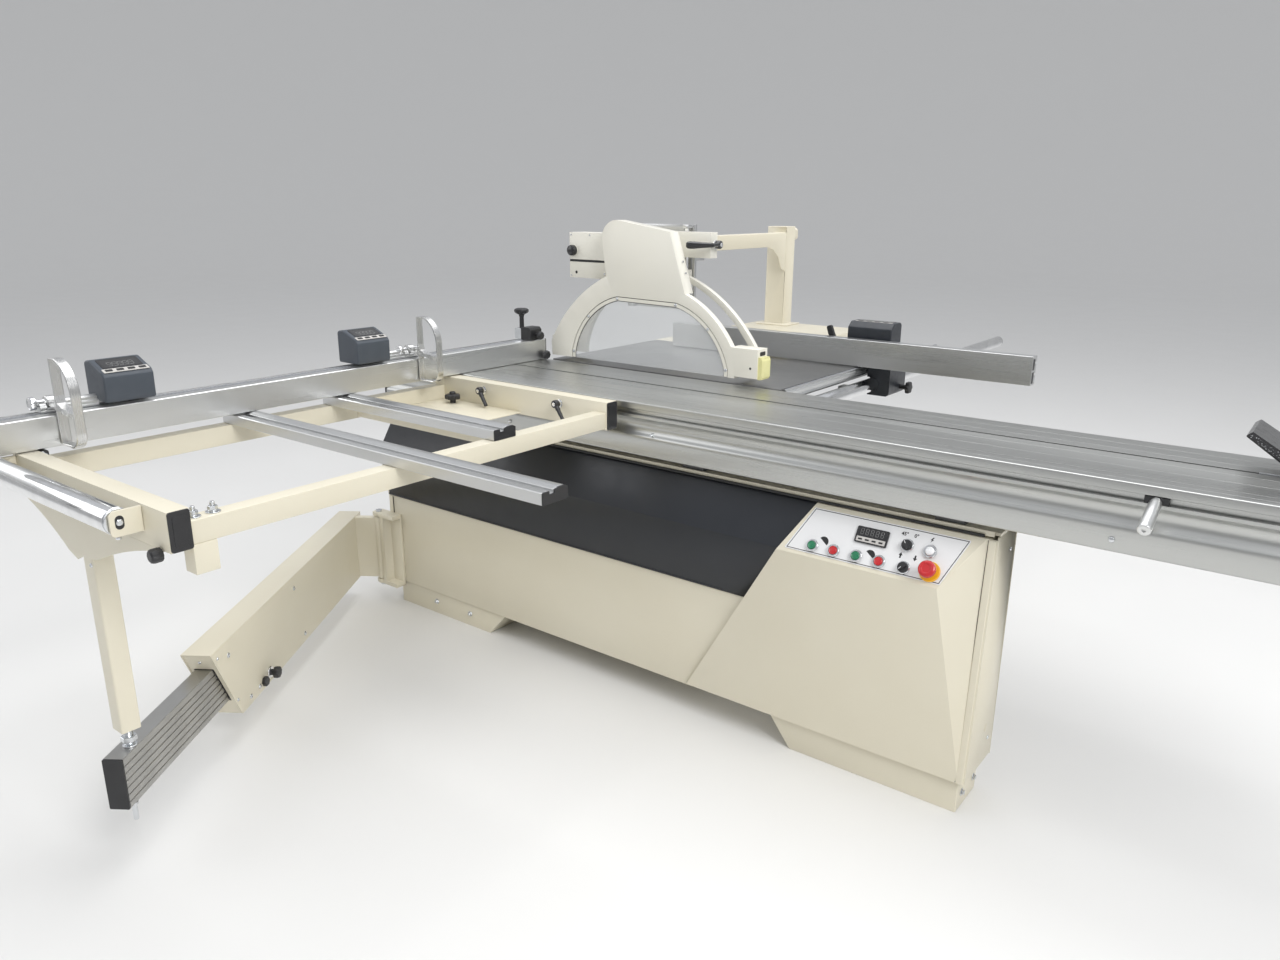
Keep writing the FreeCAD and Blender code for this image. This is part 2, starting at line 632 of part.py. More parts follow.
def rip_carriage():
    """Casting that slides on the round bar and carries the rip fence and its readout."""
    face_y = RIP_FENCE_Y
    block = box((-176, -96), (face_y + 58, face_y + 190), (778, 880))
    block = block.cut(rod((RIP_BAR[0], face_y, RIP_BAR[1]), Y, RIP_BAR[2] + 0.06, 300))
    block = block.cut(box((-200, -164), (face_y, face_y + 300), (795, 835)))
    head = box((-330, -60), (face_y + 44, face_y + 64), (879, 960))
    neck = box((-200, -100), (face_y + 50, face_y + 150), (878, 940))
    fence_pad = box((-180, -120), (face_y + 40.3, face_y + 46), (890, 940))
    casting = fuse(block, neck, head, fence_pad)
    readout = prism_x([(face_y + 66, 941), (face_y + 66, 1000), (face_y + 90, 1016), (face_y + 150, 1016),
                       (face_y + 150, 941)], -262, -106)
    return group(casting, readout)


def rip_fence():
    """Hollow rip-fence extrusion with a clamping groove in its back."""
    y0 = RIP_FENCE_Y
    body = tube_x((-940, 366), (y0, y0 + 40), (878.5, 966), 3)
    return fuse(body, box((-940, 366), (y0 + 2, y0 + 38), (920, 923)))


def rip_lever():
    """Cam lever on the back of the rip fence."""
    y0 = RIP_FENCE_Y + 64.3
    hub = rod((-306, y0, 925), Y, 12, 30)
    bar = prism_y([(-314, 925), (-298, 925), (-332, 996), (-348, 988)], y0 + 12, y0 + 26)
    return fuse(hub, bar)


def rip_lock_knob():
    """Star knob that locks the carriage to its bar."""
    z = 800
    y = RIP_FENCE_Y + 150
    stem = rod((-95.7, y, z), X, 8, 24)
    head = rod((-74, y, z), X, 21, 16)
    return fuse(stem, head)


# Overhead guard -----------------------------------------------------------

def guard_post():
    """Post on the extension table with the welded boom and gusset."""
    post = tube_z((-1031, -938), (1371, 1446), (879, 1290), 4)
    foot = box((-1060, -905), (1345, 1468), (TABLE_Z, 880))
    cap = box((-1031, -938), (1371, 1446), (1290, 1298))
    boom = box((-995, -940), (262, 1372), (1216, 1272)).cut(box((-991, -944), (200, 1371), (1220, 1268)))
    gusset = prism_x([(1371.5, 1217), (1219, 1217), (1270, 1203), (1313, 1170), (1340, 1122), (1371.5, 1110)],
                     -945, -940)
    return fuse(post, foot, cap, boom, gusset)


def guard_head():
    """Bracket at the end of the boom with two vertical guide rods."""
    plate = box((-880, -620), (206, 217), (1060, 1330))
    bridge = box((-995, -620), (216, 262), (1216, 1272))
    guides = [rod((x, 188, 1060), Z, 7, 270) for x in (-860, -640)]
    ties = [box((x - 12, x + 12), (180, 207), (z, z + 12)) for x in (-860, -640) for z in (1060, 1318)]
    return fuse(plate, bridge, *guides, *ties)


def guard_outline(y, inset):
    """Outer outline of the guard's side frame."""
    i = inset
    pts = [V(-1080 + i, y, GUARD_BOTTOM), V(-1083 + i, y, 940), V(-970 + i * 0.8, y, 1084 - i * 0.6),
           V(-838 + i * 0.6, y, 1168 - i), V(-857 + i, y, 1280), V(-840 + i * 0.7, y, 1325 - i * 0.7),
           V(-794, y, 1343 - i), V(-590 - i, y, 1312 - i), V(-530 - i, y, 1130), V(-451 - i * 0.7, y, 1086 - i * 0.6),
           V(-359 - i, y, 985), V(-345 - i, y, GUARD_BOTTOM)]
    edges = [Part.makeLine(pts[0], pts[1]), Part.Arc(pts[1], pts[2], pts[3]).toShape(),
             Part.makeLine(pts[3], pts[4]), Part.Arc(pts[4], pts[5], pts[6]).toShape(),
             Part.makeLine(pts[6], pts[7]), Part.makeLine(pts[7], pts[8]),
             Part.Arc(pts[8], pts[9], pts[10]).toShape(), Part.makeLine(pts[10], pts[11]),
             Part.makeLine(pts[11], pts[0])]
    return wire_face(edges)


def window_outline(y, grow):
    """Window opening of the guard's side frame, open at the bottom."""
    g = grow
    low = GUARD_BOTTOM - 5
    pts = [V(-990 - g, y, low), V(-990 - g, y, 915), V(-940 - g * 0.7, y, 1018 + g * 0.7), V(-795, y, 1107 + g),
           V(-563, y, 1102 + g), V(-430 + g * 0.7, y, 1027 + g * 0.7), V(-368 + g, y, 915), V(-368 + g, y, low)]
    edges = [Part.makeLine(pts[0], pts[1]), Part.Arc(pts[1], pts[2], pts[3]).toShape(),
             Part.makeLine(pts[3], pts[4]), Part.Arc(pts[4], pts[5], pts[6]).toShape(),
             Part.makeLine(pts[6], pts[7]), Part.makeLine(pts[7], pts[0])]
    return wire_face(edges)


def far_arc(y):
    """Right-hand arc of the far frame, from behind the neck down to its foot."""
    outer = [V(-660, y, 1193), V(-476, y, 1114), V(-337, y, 970)]
    inner = [V(-356, y, 965), V(-488, y, 1101), V(-660, y, 1176)]
    edges = [Part.Arc(*outer).toShape(), Part.makeLine(outer[2], inner[0]), Part.Arc(*inner).toShape(),
             Part.makeLine(inner[2], outer[0])]
    band = wire_face(edges).extrude(V(0, 18, 0))
    foot = box((-356, -337), (y, y + 18), (GUARD_BOTTOM, 968))
    root = box((-660, -640), (y, y + 18), (1133, 1185))
    return fuse(band, foot, root)


def guard_hood():
    """Guard hood: near and far frames, hollow neck, nose block and tail block."""
    y0, y1 = GUARD_Y
    near = guard_outline(y0, 0).extrude(V(0, 22, 0))
    near = near.cut(guard_outline(y0 + 4, 4).extrude(V(0, 30, 0)))
    near = near.cut(window_outline(y0 - 1, 0).extrude(V(0, 40, 0)))
    far = guard_outline(y1 - 18, 0).extrude(V(0, 18, 0))
    far = far.cut(window_outline(y1 - 30, 30).extrude(V(0, 60, 0)))
    far = far.cut(box((-1090, -340), (y1 - 30, y1 + 5), (1150, 1400)))
    far = fuse(far.cut(box((-640, -300), (y1 - 30, y1 + 5), (880, 1400))), far_arc(y1 - 18))
    neck = guard_outline(y0 + 2, 0).extrude(V(0, NECK_BACK - y0 - 2, 0))
    neck = neck.common(box((-880, -500), (y0, y1), (1130, 1400)))
    hollow = guard_outline(y0 + 6, 4).extrude(V(0, NECK_BACK - y0 - 10, 0))
    neck = neck.cut(hollow.common(box((-900, -480), (y0, y1), (1134, 1400))))
    back = box((-848, -642), (NECK_BACK - 4, y1 - 2), (1134, 1296))
    back = back.cut(box((-844, -646), (NECK_BACK - 10, y1 - 6), (1138, 1292)))
    nose = box((-362, -267), (y0, NOSE_BACK), (899, 985))
    nose = nose.cut(box((-352, -271), (y0 + 4, NOSE_BACK - 4), (894, 981)))
    nose_tie = box((-356, -344), (NOSE_BACK - 4, y1 - 1), (899, 970))
    tail = box((-1078, -1060), (y0, y1), (GUARD_BOTTOM, 960))
    runners = []
    for x in (-860, -640):
        runner = box((x - 14, x + 14), (y1 - 10, 202), (1160, 1190))
        runners.append(runner.cut(rod((x, 188, 1100), Z, 7.05, 200)))
    left = box((-1037, -875), (74, 148), (1153, 1300)).cut(box((-1038, -900), (70, 90), (1205, 1213)))
    web = box((-880, -848), (80, 140), (1180, 1290))
    right = box((-660, -518), (143, 180), (1231, 1309))
    knob = rod((-1018, 74.5, 1242), V(0, -1, 0), 16, 18)
    hood = fuse(near, far, neck, back, nose, nose_tie, tail, left, web, right, knob, *runners)
    pad = box((-267, -255), (y0 + 6, NOSE_BACK - 6), (897, 962))
    return group(hood, pad)


def guard_window():
    """Clear pane behind the near frame's opening."""
    pane = window_outline(GUARD_Y[0] + 4.05, 8).extrude(V(0, 2.5, 0))
    return pane.common(box((-1100, -364), (0, 100), (GUARD_BOTTOM, 1200)))


def guard_lever():
    """Height-lock lever on the right of the guard's slide."""
    hub = rod((-517.7, 166, 1272), X, 13, 26)
    grip = prism_z([(-508, 166), (-492, 166), (-492, 122), (-556, 80), (-574, 86), (-570, 100), (-508, 128)],
                   1262, 1282)
    return fuse(hub, grip)


# Saw unit -----------------------------------------------------------------

ARBOR_Z = TABLE_Z + CUT_HEIGHT - BLADE_R
SCORE_X = BLADE_X + 250.0
SCORE_Z = SCORE_TOP - SCORE_R


def tilt_trunnions():
    """Plates at both ends of the saw unit, hollowed round the tilt axis."""
    parts = []
    for x in (-1050, -330):
        plate = box((x, x + 20), (-310, 262), (CAB_Z[0] + SHEET, CAB_Z[1] - 8))
        parts.append(plate.cut(rod((x - 1, BLADE_Y, TABLE_Z), X, 395, 22)))
    return group(*parts)


def tilt_frame():
    """Swinging plate that hangs from the trunnions and carries the rise ways."""
    cheeks = []
    for x in (-1024, -342):
        hook = rod((x, BLADE_Y, TABLE_Z), X, 394.6, 10).cut(rod((x - 1, BLADE_Y, TABLE_Z), X, 372, 12))
        hook = hook.common(box((x - 1, x + 11), (-20, 230), (450, 620)))
        cheeks.append(fuse(hook, box((x, x + 10), (90, 150), (500, 800))))
    plate = box((-1024, -332), (140, 150), (520, 800)).cut(box((-806, -628), (139, 151), (510, 712)))
    ways = [rod((x, 128, 520), Z, 9, 280) for x in (-900, -560)]
    ends = [box((x - 14, x + 14), (112, 141), (z, z + 12)) for x in (-900, -560) for z in (515, 790)]
    score = box((-490, -420), (60, 142), (775, 800)).cut(rod((SCORE_X, 40, SCORE_Z), Y, 20, 130))
    score = fuse(score, ring((SCORE_X, 60, SCORE_Z), Y, 28, 20, 60),
                 box((-490, -420), (100, 142), (760, 790)).cut(rod((SCORE_X, 90, SCORE_Z), Y, 27, 60)))
    return fuse(plate, *cheeks, *ways, *ends, score)


def arbor_housing():
    """Rise carriage: bearing housing, sleeves on the ways and motor stand-offs."""
    housing = ring((BLADE_X, 58, ARBOR_Z), Y, 36, 20, 60)
    plate = box((-905, -555), (100, 110), (455, 740)).cut(rod((BLADE_X, 50, ARBOR_Z), Y, 30, 90))
    parts = [housing]
    for x in (-900, -560):
        for z in (555, 652):
            sleeve = box((x - 16, x + 16), (108, 139), (z, z + 30))
            parts.append(sleeve.cut(rod((x, 128, z - 1), Z, 9.05, 32)))
    for x in (-72, 72):
        for z in (-45, 45):
            parts.append(rod((MOTOR[0] + x, 105, MOTOR[1] + z), Y, 7, 46.9))
    return fuse(plate, *parts)


def main_arbor():
    """Main arbor with flanges, nut and driven pulley."""
    shaft = rod((BLADE_X, 8, ARBOR_Z), Y, 15, 126)
    journals = rod((BLADE_X, 60, ARBOR_Z), Y, 19.95, 56)
    flange_in = rod((BLADE_X, BLADE_Y + KERF / 2 + 0.02, ARBOR_Z), Y, 34, 9)
    flange_out = rod((BLADE_X, BLADE_Y - KERF / 2 - 9.02, ARBOR_Z), Y, 34, 9)
    nut = rod((BLADE_X, 11, ARBOR_Z), Y, 20, 13)
    pulley = rod((BLADE_X, 118.5, ARBOR_Z), Y, 32, 15)
    return fuse(shaft, journals, flange_in, pulley), fuse(flange_out, nut).cut(
        rod((BLADE_X, 0, ARBOR_Z), Y, 15, 60))


def saw_blade(x, z, radius, y, thickness, teeth, bore):
    """Blade plate with square-gullet teeth."""
    points = []
    for k in range(teeth):
        a = 2 * math.pi * k / teeth
        b = a + 0.62 * 2 * math.pi / teeth
        points.append((x + radius * math.cos(a), z + radius * math.sin(a)))
        points.append((x + (radius - 1.5) * math.cos(b), z + (radius - 1.5) * math.sin(b)))
        points.append((x + (radius - 9) * math.cos(b + 0.004), z + (radius - 9) * math.sin(b + 0.004)))
    plate = prism_y(points, y - thickness / 2, y + thickness / 2)
    return plate.cut(rod((x, y - 5, z), Y, bore, 10))


def scoring_unit():
    """Scoring arbor with its small blade and pulley."""
    shaft = rod((SCORE_X, 14, SCORE_Z), Y, 10, 116)
    journal = rod((SCORE_X, 61, SCORE_Z), Y, 19.95, 58)
    flange = rod((SCORE_X, 14, SCORE_Z), Y, 22, 18)
    flange_in = rod((SCORE_X, 36, SCORE_Z), Y, 22, 10)
    pulley = rod((SCORE_X, 120.5, SCORE_Z), Y, 16, 10)
    blade = saw_blade(SCORE_X, SCORE_Z, SCORE_R, BLADE_Y, 3.0, 24, 9.5)
    return fuse(shaft, journal, flange, flange_in, pulley, blade)


def riving_knife():
    """Curved riving knife behind the blade, on the rise carriage."""
    c = V(BLADE_X, BLADE_Y - 1.4, ARBOR_Z)
    outer = Part.makeCylinder(BLADE_R + 42, 2.8, c, Y).cut(Part.makeCylinder(BLADE_R + 5, 2.8, c, Y))
    keep = prism_y([(BLADE_X - 20, ARBOR_Z - 90), (BLADE_X - 20, ARBOR_Z - 10), (BLADE_X - 150, ARBOR_Z + 168),
                    (BLADE_X - 230, ARBOR_Z + 120), (BLADE_X - 260, ARBOR_Z - 90)], 0, 60)
    blade = outer.common(keep)
    stalk = box((BLADE_X - 199, BLADE_X - 165), (BLADE_Y + 1.4, 99.98), (ARBOR_Z - 70, ARBOR_Z - 58))
    return fuse(blade, stalk)


def drive_motor():
    """Main motor with its foot on the rise carriage."""
    body = rod((MOTOR[0], 152, MOTOR[1]), Y, 92, 100)
    return body.cut(rod((MOTOR[0], 151, MOTOR[1]), Y, 12.5, 20))


def motor_shaft():
    """Motor shaft and driving pulley."""
    return fuse(rod((MOTOR[0], 112, MOTOR[1]), Y, 12, 58), rod((MOTOR[0], 118.5, MOTOR[1]), Y, 44, 15))


def drive_belt():
    """Flat loop around both pulleys."""
    y0, y1 = 119.5, 132.5
    gap = ARBOR_Z - MOTOR[1]

    def hull(r_top, r_low):
        tilt = math.asin((r_low - r_top) / gap)
        c, s = math.cos(tilt), math.sin(tilt)
        points = [(MOTOR[0] + r_top * c, ARBOR_Z + r_top * s), (MOTOR[0] - r_top * c, ARBOR_Z + r_top * s),
                  (MOTOR[0] - r_low * c, MOTOR[1] + r_low * s), (MOTOR[0] + r_low * c, MOTOR[1] + r_low * s)]
        return fuse(prism_y(points, y0, y1), rod((MOTOR[0], y0, ARBOR_Z), Y, r_top, y1 - y0),
                    rod((MOTOR[0], y0, MOTOR[1]), Y, r_low, y1 - y0))
    return hull(37.5, 49.5).cut(hull(32.4, 44.4))


def dust_port():
    """Round extraction spigot on the back of the cabinet."""
    return ring((-900, BODY_BACK, 300), Y, 60, 57.5, 60)


def main():
    os.makedirs("parts", exist_ok=True)
    arbor, clamp = main_arbor()
    pieces = {
        "plinths": plinths(), "cabinet_shell": cabinet_shell(), "front_panel": front_panel(),
        "upper_cover": upper_cover(), "control_box": control_box(),
        "control_plate": group(control_plate(), *control_bezels()), "e_stop_button": e_stop_button(),
        "slide_beam": slide_beam(), "table_supports": table_supports(), "roller_cage": roller_cage(),
        "slide_table": slide_table(), "push_handle": push_handle(), "edging_shoe": edging_shoe(),
        "outrigger_frame": outrigger_frame(), "end_caps": end_caps(), "support_bars": support_bars(),
        "support_roller": support_roller(), "support_leg": group(support_leg(), leg_foot()),
        "clamp_lever_1": clamp_lever(-955), "clamp_lever_2": clamp_lever(-646),
        "crosscut_fence": crosscut_fence(), "fence_extension": fence_extension(), "fence_index": fence_index(),
        "stop_slide_1": stop_slide(STOP_Y[0], (-1434, -1320)), "flip_arm_1": flip_arm(STOP_Y[0]),
        "stop_slide_2": stop_slide(STOP_Y[1], (-752, -640)), "flip_arm_2": flip_arm(STOP_Y[1]),
        "arm_bracket": arm_bracket(), "swing_arm": swing_arm(), "arm_beam": arm_beam(),
        "cast_table": cast_table(), "extension_table": extension_table(), "rip_scale_rail": rip_scale_rail(),
        "rip_bar": rip_bar(), "rip_carriage": rip_carriage(), "rip_fence": rip_fence(),
        "rip_lever": rip_lever(), "rip_lock_knob": rip_lock_knob(),
        "guard_post": guard_post(), "guard_head": guard_head(), "guard_hood": guard_hood(),
        "guard_window": guard_window(), "guard_lever": guard_lever(),
        "tilt_trunnions": tilt_trunnions(), "tilt_frame": tilt_frame(), "arbor_housing": arbor_housing(),
        "main_arbor": group(arbor, clamp),
        "main_blade": saw_blade(BLADE_X, ARBOR_Z, BLADE_R, BLADE_Y, KERF, 48, 15.02),
        "scoring_unit": scoring_unit(), "riving_knife": riving_knife(), "drive_motor": drive_motor(),
        "motor_shaft": motor_shaft(), "drive_belt": drive_belt(), "dust_port": dust_port(),
    }
    for name, (u, v) in BUTTONS.items():
        pieces[name] = push_button(u, v)
    for name, (u, v) in SELECTORS.items():
        pieces[name] = selector(u, v)
    for name, shape in pieces.items():
        save(name, shape)


main()
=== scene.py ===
"""Looks of a sliding-table panel saw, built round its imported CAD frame.

Lengths in the piece functions are millimetres in the frame's own directions:
X along the sliding table, Y across it, Z up from the floor.
"""
import math

import bmesh
import bpy
from mathutils import Matrix, Vector


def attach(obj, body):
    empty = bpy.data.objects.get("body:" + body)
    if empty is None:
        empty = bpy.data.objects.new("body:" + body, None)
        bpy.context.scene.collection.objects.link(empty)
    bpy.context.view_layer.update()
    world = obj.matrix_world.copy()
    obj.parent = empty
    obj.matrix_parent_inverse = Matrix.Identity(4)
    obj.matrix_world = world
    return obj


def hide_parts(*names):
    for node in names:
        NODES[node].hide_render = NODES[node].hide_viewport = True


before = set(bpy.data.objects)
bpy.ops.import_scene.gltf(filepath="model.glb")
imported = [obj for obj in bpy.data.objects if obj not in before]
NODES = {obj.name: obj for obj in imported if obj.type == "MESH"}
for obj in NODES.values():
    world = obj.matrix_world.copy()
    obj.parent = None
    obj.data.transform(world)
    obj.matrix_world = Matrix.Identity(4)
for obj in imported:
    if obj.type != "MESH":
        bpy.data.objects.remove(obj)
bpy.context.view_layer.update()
MM = 0.001


# Materials ----------------------------------------------------------------

class Finish:
    """A Principled material with its node tree within reach."""

    def __init__(self, name, color, **sockets):
        self.material = bpy.data.materials.new(name)
        self.material.use_nodes = True
        self.tree = self.material.node_tree
        self.shader = self.tree.nodes["Principled BSDF"]
        self.color = (*color, 1.0)
        self.shader.inputs["Base Color"].default_value = self.color
        for key, value in sockets.items():
            self.shader.inputs[key.replace("_", " ")].default_value = value
        self.place = self.node("ShaderNodeTexCoord").outputs["Object"]

    def node(self, kind, inputs=None, **settings):
        made = self.tree.nodes.new(kind)
        for key, value in settings.items():
            setattr(made, key, value)
        for key, value in (inputs or {}).items():
            if isinstance(value, bpy.types.NodeSocket):
                self.tree.links.new(value, made.inputs[key])
            else:
                made.inputs[key].default_value = value
        return made

    def noise(self, scale, stretch=(1, 1, 1), detail=4.0, rough=0.5):
        """Noise in object coordinates, stretched by a factor for each axis."""
        place = self.node("ShaderNodeMapping", {"Vector": self.place, "Scale": stretch}).outputs[0]
        inputs = {"Vector": place, "Scale": scale, "Detail": detail, "Roughness": rough}
        return self.node("ShaderNodeTexNoise", inputs).outputs["Fac"]

    def spread(self, value, low, high, source=(0.3, 0.7)):
        """Maps a noise value into a range of numbers."""
        return self.node("ShaderNodeMapRange", {"Value": value, "From Min": source[0], "From Max": source[1],
                                                "To Min": low, "To Max": high}).outputs["Result"]

    def math(self, operation, a, b=0.0):
        return self.node("ShaderNodeMath", {0: a, 1: b}, operation=operation).outputs[0]

    def tint(self, value, other):
        """Colour between the base colour and another, by a 0 to 1 value."""
        made = self.node("ShaderNodeMix", data_type="RGBA")
        self.tree.links.new(value, made.inputs[0])
        made.inputs[6].default_value = self.color
        made.inputs[7].default_value = (*other, 1.0)
        return made.outputs[2]

    def into(self, socket, value):
        self.tree.links.new(value, self.shader.inputs[socket])

    def bump(self, height, strength, distance, below=None):
        inputs = {"Height": height, "Strength": strength, "Distance": distance}
        if below is not None:
            inputs["Normal"] = below
        return self.node("ShaderNodeBump", inputs).outputs["Normal"]


def painted(name, color, shade, rough=0.38, coat=0.15):
    """Powder coat: fine orange peel, slow drift of tone and faint handling marks."""
    f = Finish(name, color, Coat_Weight=coat, Coat_Roughness=0.25)
    f.into("Base Color", f.tint(f.spread(f.noise(2.2, detail=6), 0.0, 1.0), shade))
    f.into("Roughness", f.spread(f.noise(14, detail=7, rough=0.65), rough - 0.05, rough + 0.09))
    peel = f.bump(f.noise(420, detail=2), 0.10, 0.0006)
    f.into("Normal", f.bump(f.noise(5, detail=3), 0.05, 0.004, peel))
    return f.material


def drawn(name, color, shade, axis, rough, line, count=1500.0):
    """Extruded or brushed metal with fine lines along one axis."""
    f = Finish(name, color, Metallic=1.0, Anisotropic=0.35)
    long = 6.0 / count
    stretch = tuple(long if a == axis else 1.0 for a in "XYZ")
    lines = f.noise(count, stretch, detail=3, rough=0.6)
    broad = f.noise(9, tuple(0.08 if a == axis else 1.0 for a in "XYZ"), detail=5)
    f.into("Base Color", f.tint(f.spread(broad, 0.0, 1.0), shade))
    both = f.math("ADD", f.spread(lines, -0.06, 0.06), f.spread(broad, rough - 0.05, rough + 0.07))
    f.into("Roughness", both)
    f.into("Normal", f.bump(lines, line, 0.0003))
    return f.material


def ground_iron(name, color, shade):
    """Surface-ground iron: crossed fine scratches under an oily film."""
    f = Finish(name, color, Metallic=0.85, Coat_Weight=0.2, Coat_Roughness=0.3)
    along = f.noise(900, (0.01, 1, 1), detail=3)
    across = f.noise(700, (1, 0.02, 1), detail=2)
    cloud = f.noise(4, detail=6)
    f.into("Base Color", f.tint(f.spread(cloud, 0.0, 1.0), shade))
    scratch = f.math("ADD", along, f.math("MULTIPLY", across, 0.5))
    f.into("Roughness", f.math("ADD", f.spread(cloud, 0.30, 0.42), f.spread(scratch, -0.05, 0.05, (0.5, 1.0))))
    f.into("Normal", f.bump(scratch, 0.2, 0.0004))
    return f.material


def moulded(name, color, shade, rough, grain=900.0, depth=0.25, coat=0.0):
    """Moulded plastic or rubber with a fine spark-eroded grain."""
    f = Finish(name, color, Coat_Weight=coat, Coat_Roughness=0.15)
    f.into("Base Color", f.tint(f.spread(f.noise(30, detail=4), 0.0, 1.0), shade))
    f.into("Roughness", f.spread(f.noise(60, detail=5), rough - 0.07, rough + 0.08))
    f.into("Normal", f.bump(f.noise(grain, detail=2), depth, 0.0003))
    return f.material


def polished(name, color, rough):
    """Chrome or bright zinc with faint turning marks and finger smears."""
    f = Finish(name, color, Metallic=1.0)
    f.into("Base Color", f.tint(f.spread(f.noise(40, detail=3), 0.0, 1.0), tuple(c * 0.86 for c in color)))
    f.into("Roughness", f.spread(f.noise(18, detail=6), rough, rough + 0.09))
    f.into("Normal", f.bump(f.noise(1200, detail=2), 0.04, 0.0002))
    return f.material


def ruled(name, color, ink):
    """Printed rule along Y: millimetre, half-centimetre and centimetre marks with number blocks."""
    f = Finish(name, color, Roughness=0.5, Metallic=0.1)
    split = f.node("ShaderNodeSeparateXYZ", {"Vector": f.place})
    run, side = split.outputs["Y"], split.outputs["X"]
    marks = None
    across = f.math("FRACT", f.math("DIVIDE", side, 0.02))
    for step, width, reach in ((1, 0.24, 0.18), (5, 0.10, 0.32), (10, 0.12, 0.50)):
        phase = f.math("FRACT", f.math("DIVIDE", run, step * MM))
        line = f.math("MULTIPLY", f.math("LESS_THAN", phase, width), f.math("LESS_THAN", across, reach))
        marks = line if marks is None else f.math("MAXIMUM", marks, line)
    digit = f.math("FRACT", f.math("DIVIDE", run, 10 * MM))
    block = f.math("MULTIPLY", f.math("LESS_THAN", f.math("ABSOLUTE", f.math("SUBTRACT", digit, 0.5)), 0.26),
                   f.math("LESS_THAN", f.math("ABSOLUTE", f.math("SUBTRACT", across, 0.72)), 0.13))
    speck = f.math("GREATER_THAN", f.noise(1100, detail=1), 0.46)
    marks = f.math("MAXIMUM", marks, f.math("MULTIPLY", block, speck))
    f.into("Base Color", f.tint(marks, ink))
    f.into("Normal", f.bump(f.noise(700, (1, 0.02, 1)), 0.1, 0.0003))
    return f.material


def clear_sheet():
    """Clear polycarbonate with light scuffs."""
    f = Finish("clear_window", (0.93, 0.95, 0.96), IOR=1.5)
    f.shader.inputs["Alpha"].default_value = 0.24
    f.into("Roughness", f.spread(f.noise(12, (1, 1, 0.4), detail=8, rough=0.7), 0.04, 0.22))
    f.into("Normal", f.bump(f.noise(7, detail=2), 0.12, 0.004))
    return f.material


def lens(name, color, glow=0.0):
    """Small moulded lens or display window."""
    f = Finish(name, color, Coat_Weight=0.8, Coat_Roughness=0.05, Emission_Strength=glow)
    f.shader.inputs["Emission Color"].default_value = f.color
    f.into("Roughness", f.spread(f.noise(200, detail=2), 0.12, 0.24))
    f.into("Base Color", f.tint(f.spread(f.noise(300, detail=1), 0.0, 1.0), tuple(c * 0.8 for c in color)))
    return f.material


def speckled():
    """Cut rubber edge with pale grit showing."""
    f = Finish("speckled_edge", (0.025, 0.025, 0.027), Specular_IOR_Level=0.6)
    grit = f.node("ShaderNodeTexVoronoi", {"Vector": f.place, "Scale": 260.0}).outputs["Distance"]
    dots = f.math("LESS_THAN", grit, 0.27)
    f.into("Base Color", f.tint(f.math("MULTIPLY", dots, f.math("GREATER_THAN", f.noise(300), 0.48)),
                                (0.55, 0.56, 0.58)))
    f.into("Roughness", f.spread(grit, 0.35, 0.7, (0.0, 0.6)))
    f.into("Normal", f.bump(grit, 0.6, 0.001))
    return f.material


CREAM = painted("cream_paint", (0.735, 0.690, 0.560), (0.700, 0.650, 0.515))
WHITE = painted("guard_paint", (0.800, 0.780, 0.700), (0.770, 0.745, 0.655), 0.34, 0.25)
COVER = painted("cover_paint", (0.0125, 0.0150, 0.0200), (0.0085, 0.0100, 0.0140), 0.36, 0.1)
PLATE = painted("plate_white", (0.780, 0.780, 0.780), (0.740, 0.740, 0.745), 0.42, 0.0)
PRINT = painted("black_print", (0.012, 0.012, 0.013), (0.02, 0.02, 0.02), 0.5, 0.0)
MOTOR_PAINT = painted("motor_paint", (0.035, 0.055, 0.085), (0.03, 0.045, 0.07), 0.4, 0.1)
SLIDE = drawn("slide_aluminium", (0.54, 0.545, 0.53), (0.50, 0.505, 0.49), "X", 0.31, 0.10)
ALU_X = drawn("aluminium_x", (0.66, 0.665, 0.665), (0.61, 0.615, 0.615), "X", 0.32, 0.10)
ALU_Y = drawn("aluminium_y", (0.72, 0.725, 0.72), (0.67, 0.675, 0.67), "Y", 0.32, 0.08)
ALU_ARM = drawn("aluminium_beam", (0.50, 0.495, 0.48), (0.45, 0.445, 0.43), "Z", 0.40, 0.03)
CASTING = drawn("polished_casting", (0.72, 0.72, 0.71), (0.62, 0.62, 0.61), "Z", 0.26, 0.08, count=500.0)
IRON = ground_iron("ground_iron", (0.255, 0.255, 0.250), (0.205, 0.205, 0.205))
RAW_IRON = painted("cast_iron", (0.16, 0.16, 0.16), (0.12, 0.12, 0.12), 0.6, 0.0)
CHROME = polished("chrome", (0.86, 0.865, 0.87), 0.05)
ZINC = polished("zinc", (0.74, 0.76, 0.78), 0.20)
COLLAR = polished("satin_collar", (0.74, 0.75, 0.76), 0.2)
STEEL = drawn("turned_steel", (0.55, 0.55, 0.56), (0.47, 0.47, 0.48), "Y", 0.30, 0.1)
BLADE = drawn("blade_steel", (0.62, 0.62, 0.63), (0.55, 0.55, 0.56), "X", 0.24, 0.12)
# black plastic, also used for black fills that are painted shade in louvre openings and slots
BLACK = moulded("black_plastic", (0.016, 0.016, 0.017), (0.024, 0.024, 0.026), 0.42)
GLOSS_BLACK = moulded("gloss_black", (0.010, 0.010, 0.011), (0.016, 0.016, 0.018), 0.16, 300, 0.05, 0.4)
SLATE = moulded("slate_plastic", (0.055, 0.066, 0.082), (0.065, 0.077, 0.094), 0.45)
DARK_SLATE = moulded("carriage_plastic", (0.020, 0.024, 0.030), (0.028, 0.032, 0.040), 0.40)
# rubber, also used for thin dark strips that are painted shade in gaps and a slot
RUBBER_AND_SHADE = moulded("rubber", (0.020, 0.020, 0.021), (0.03, 0.03, 0.03), 0.7, 500, 0.5)
RED = moulded("red_plastic", (0.560, 0.016, 0.020), (0.47, 0.012, 0.016), 0.30, 500, 0.06, 0.4)
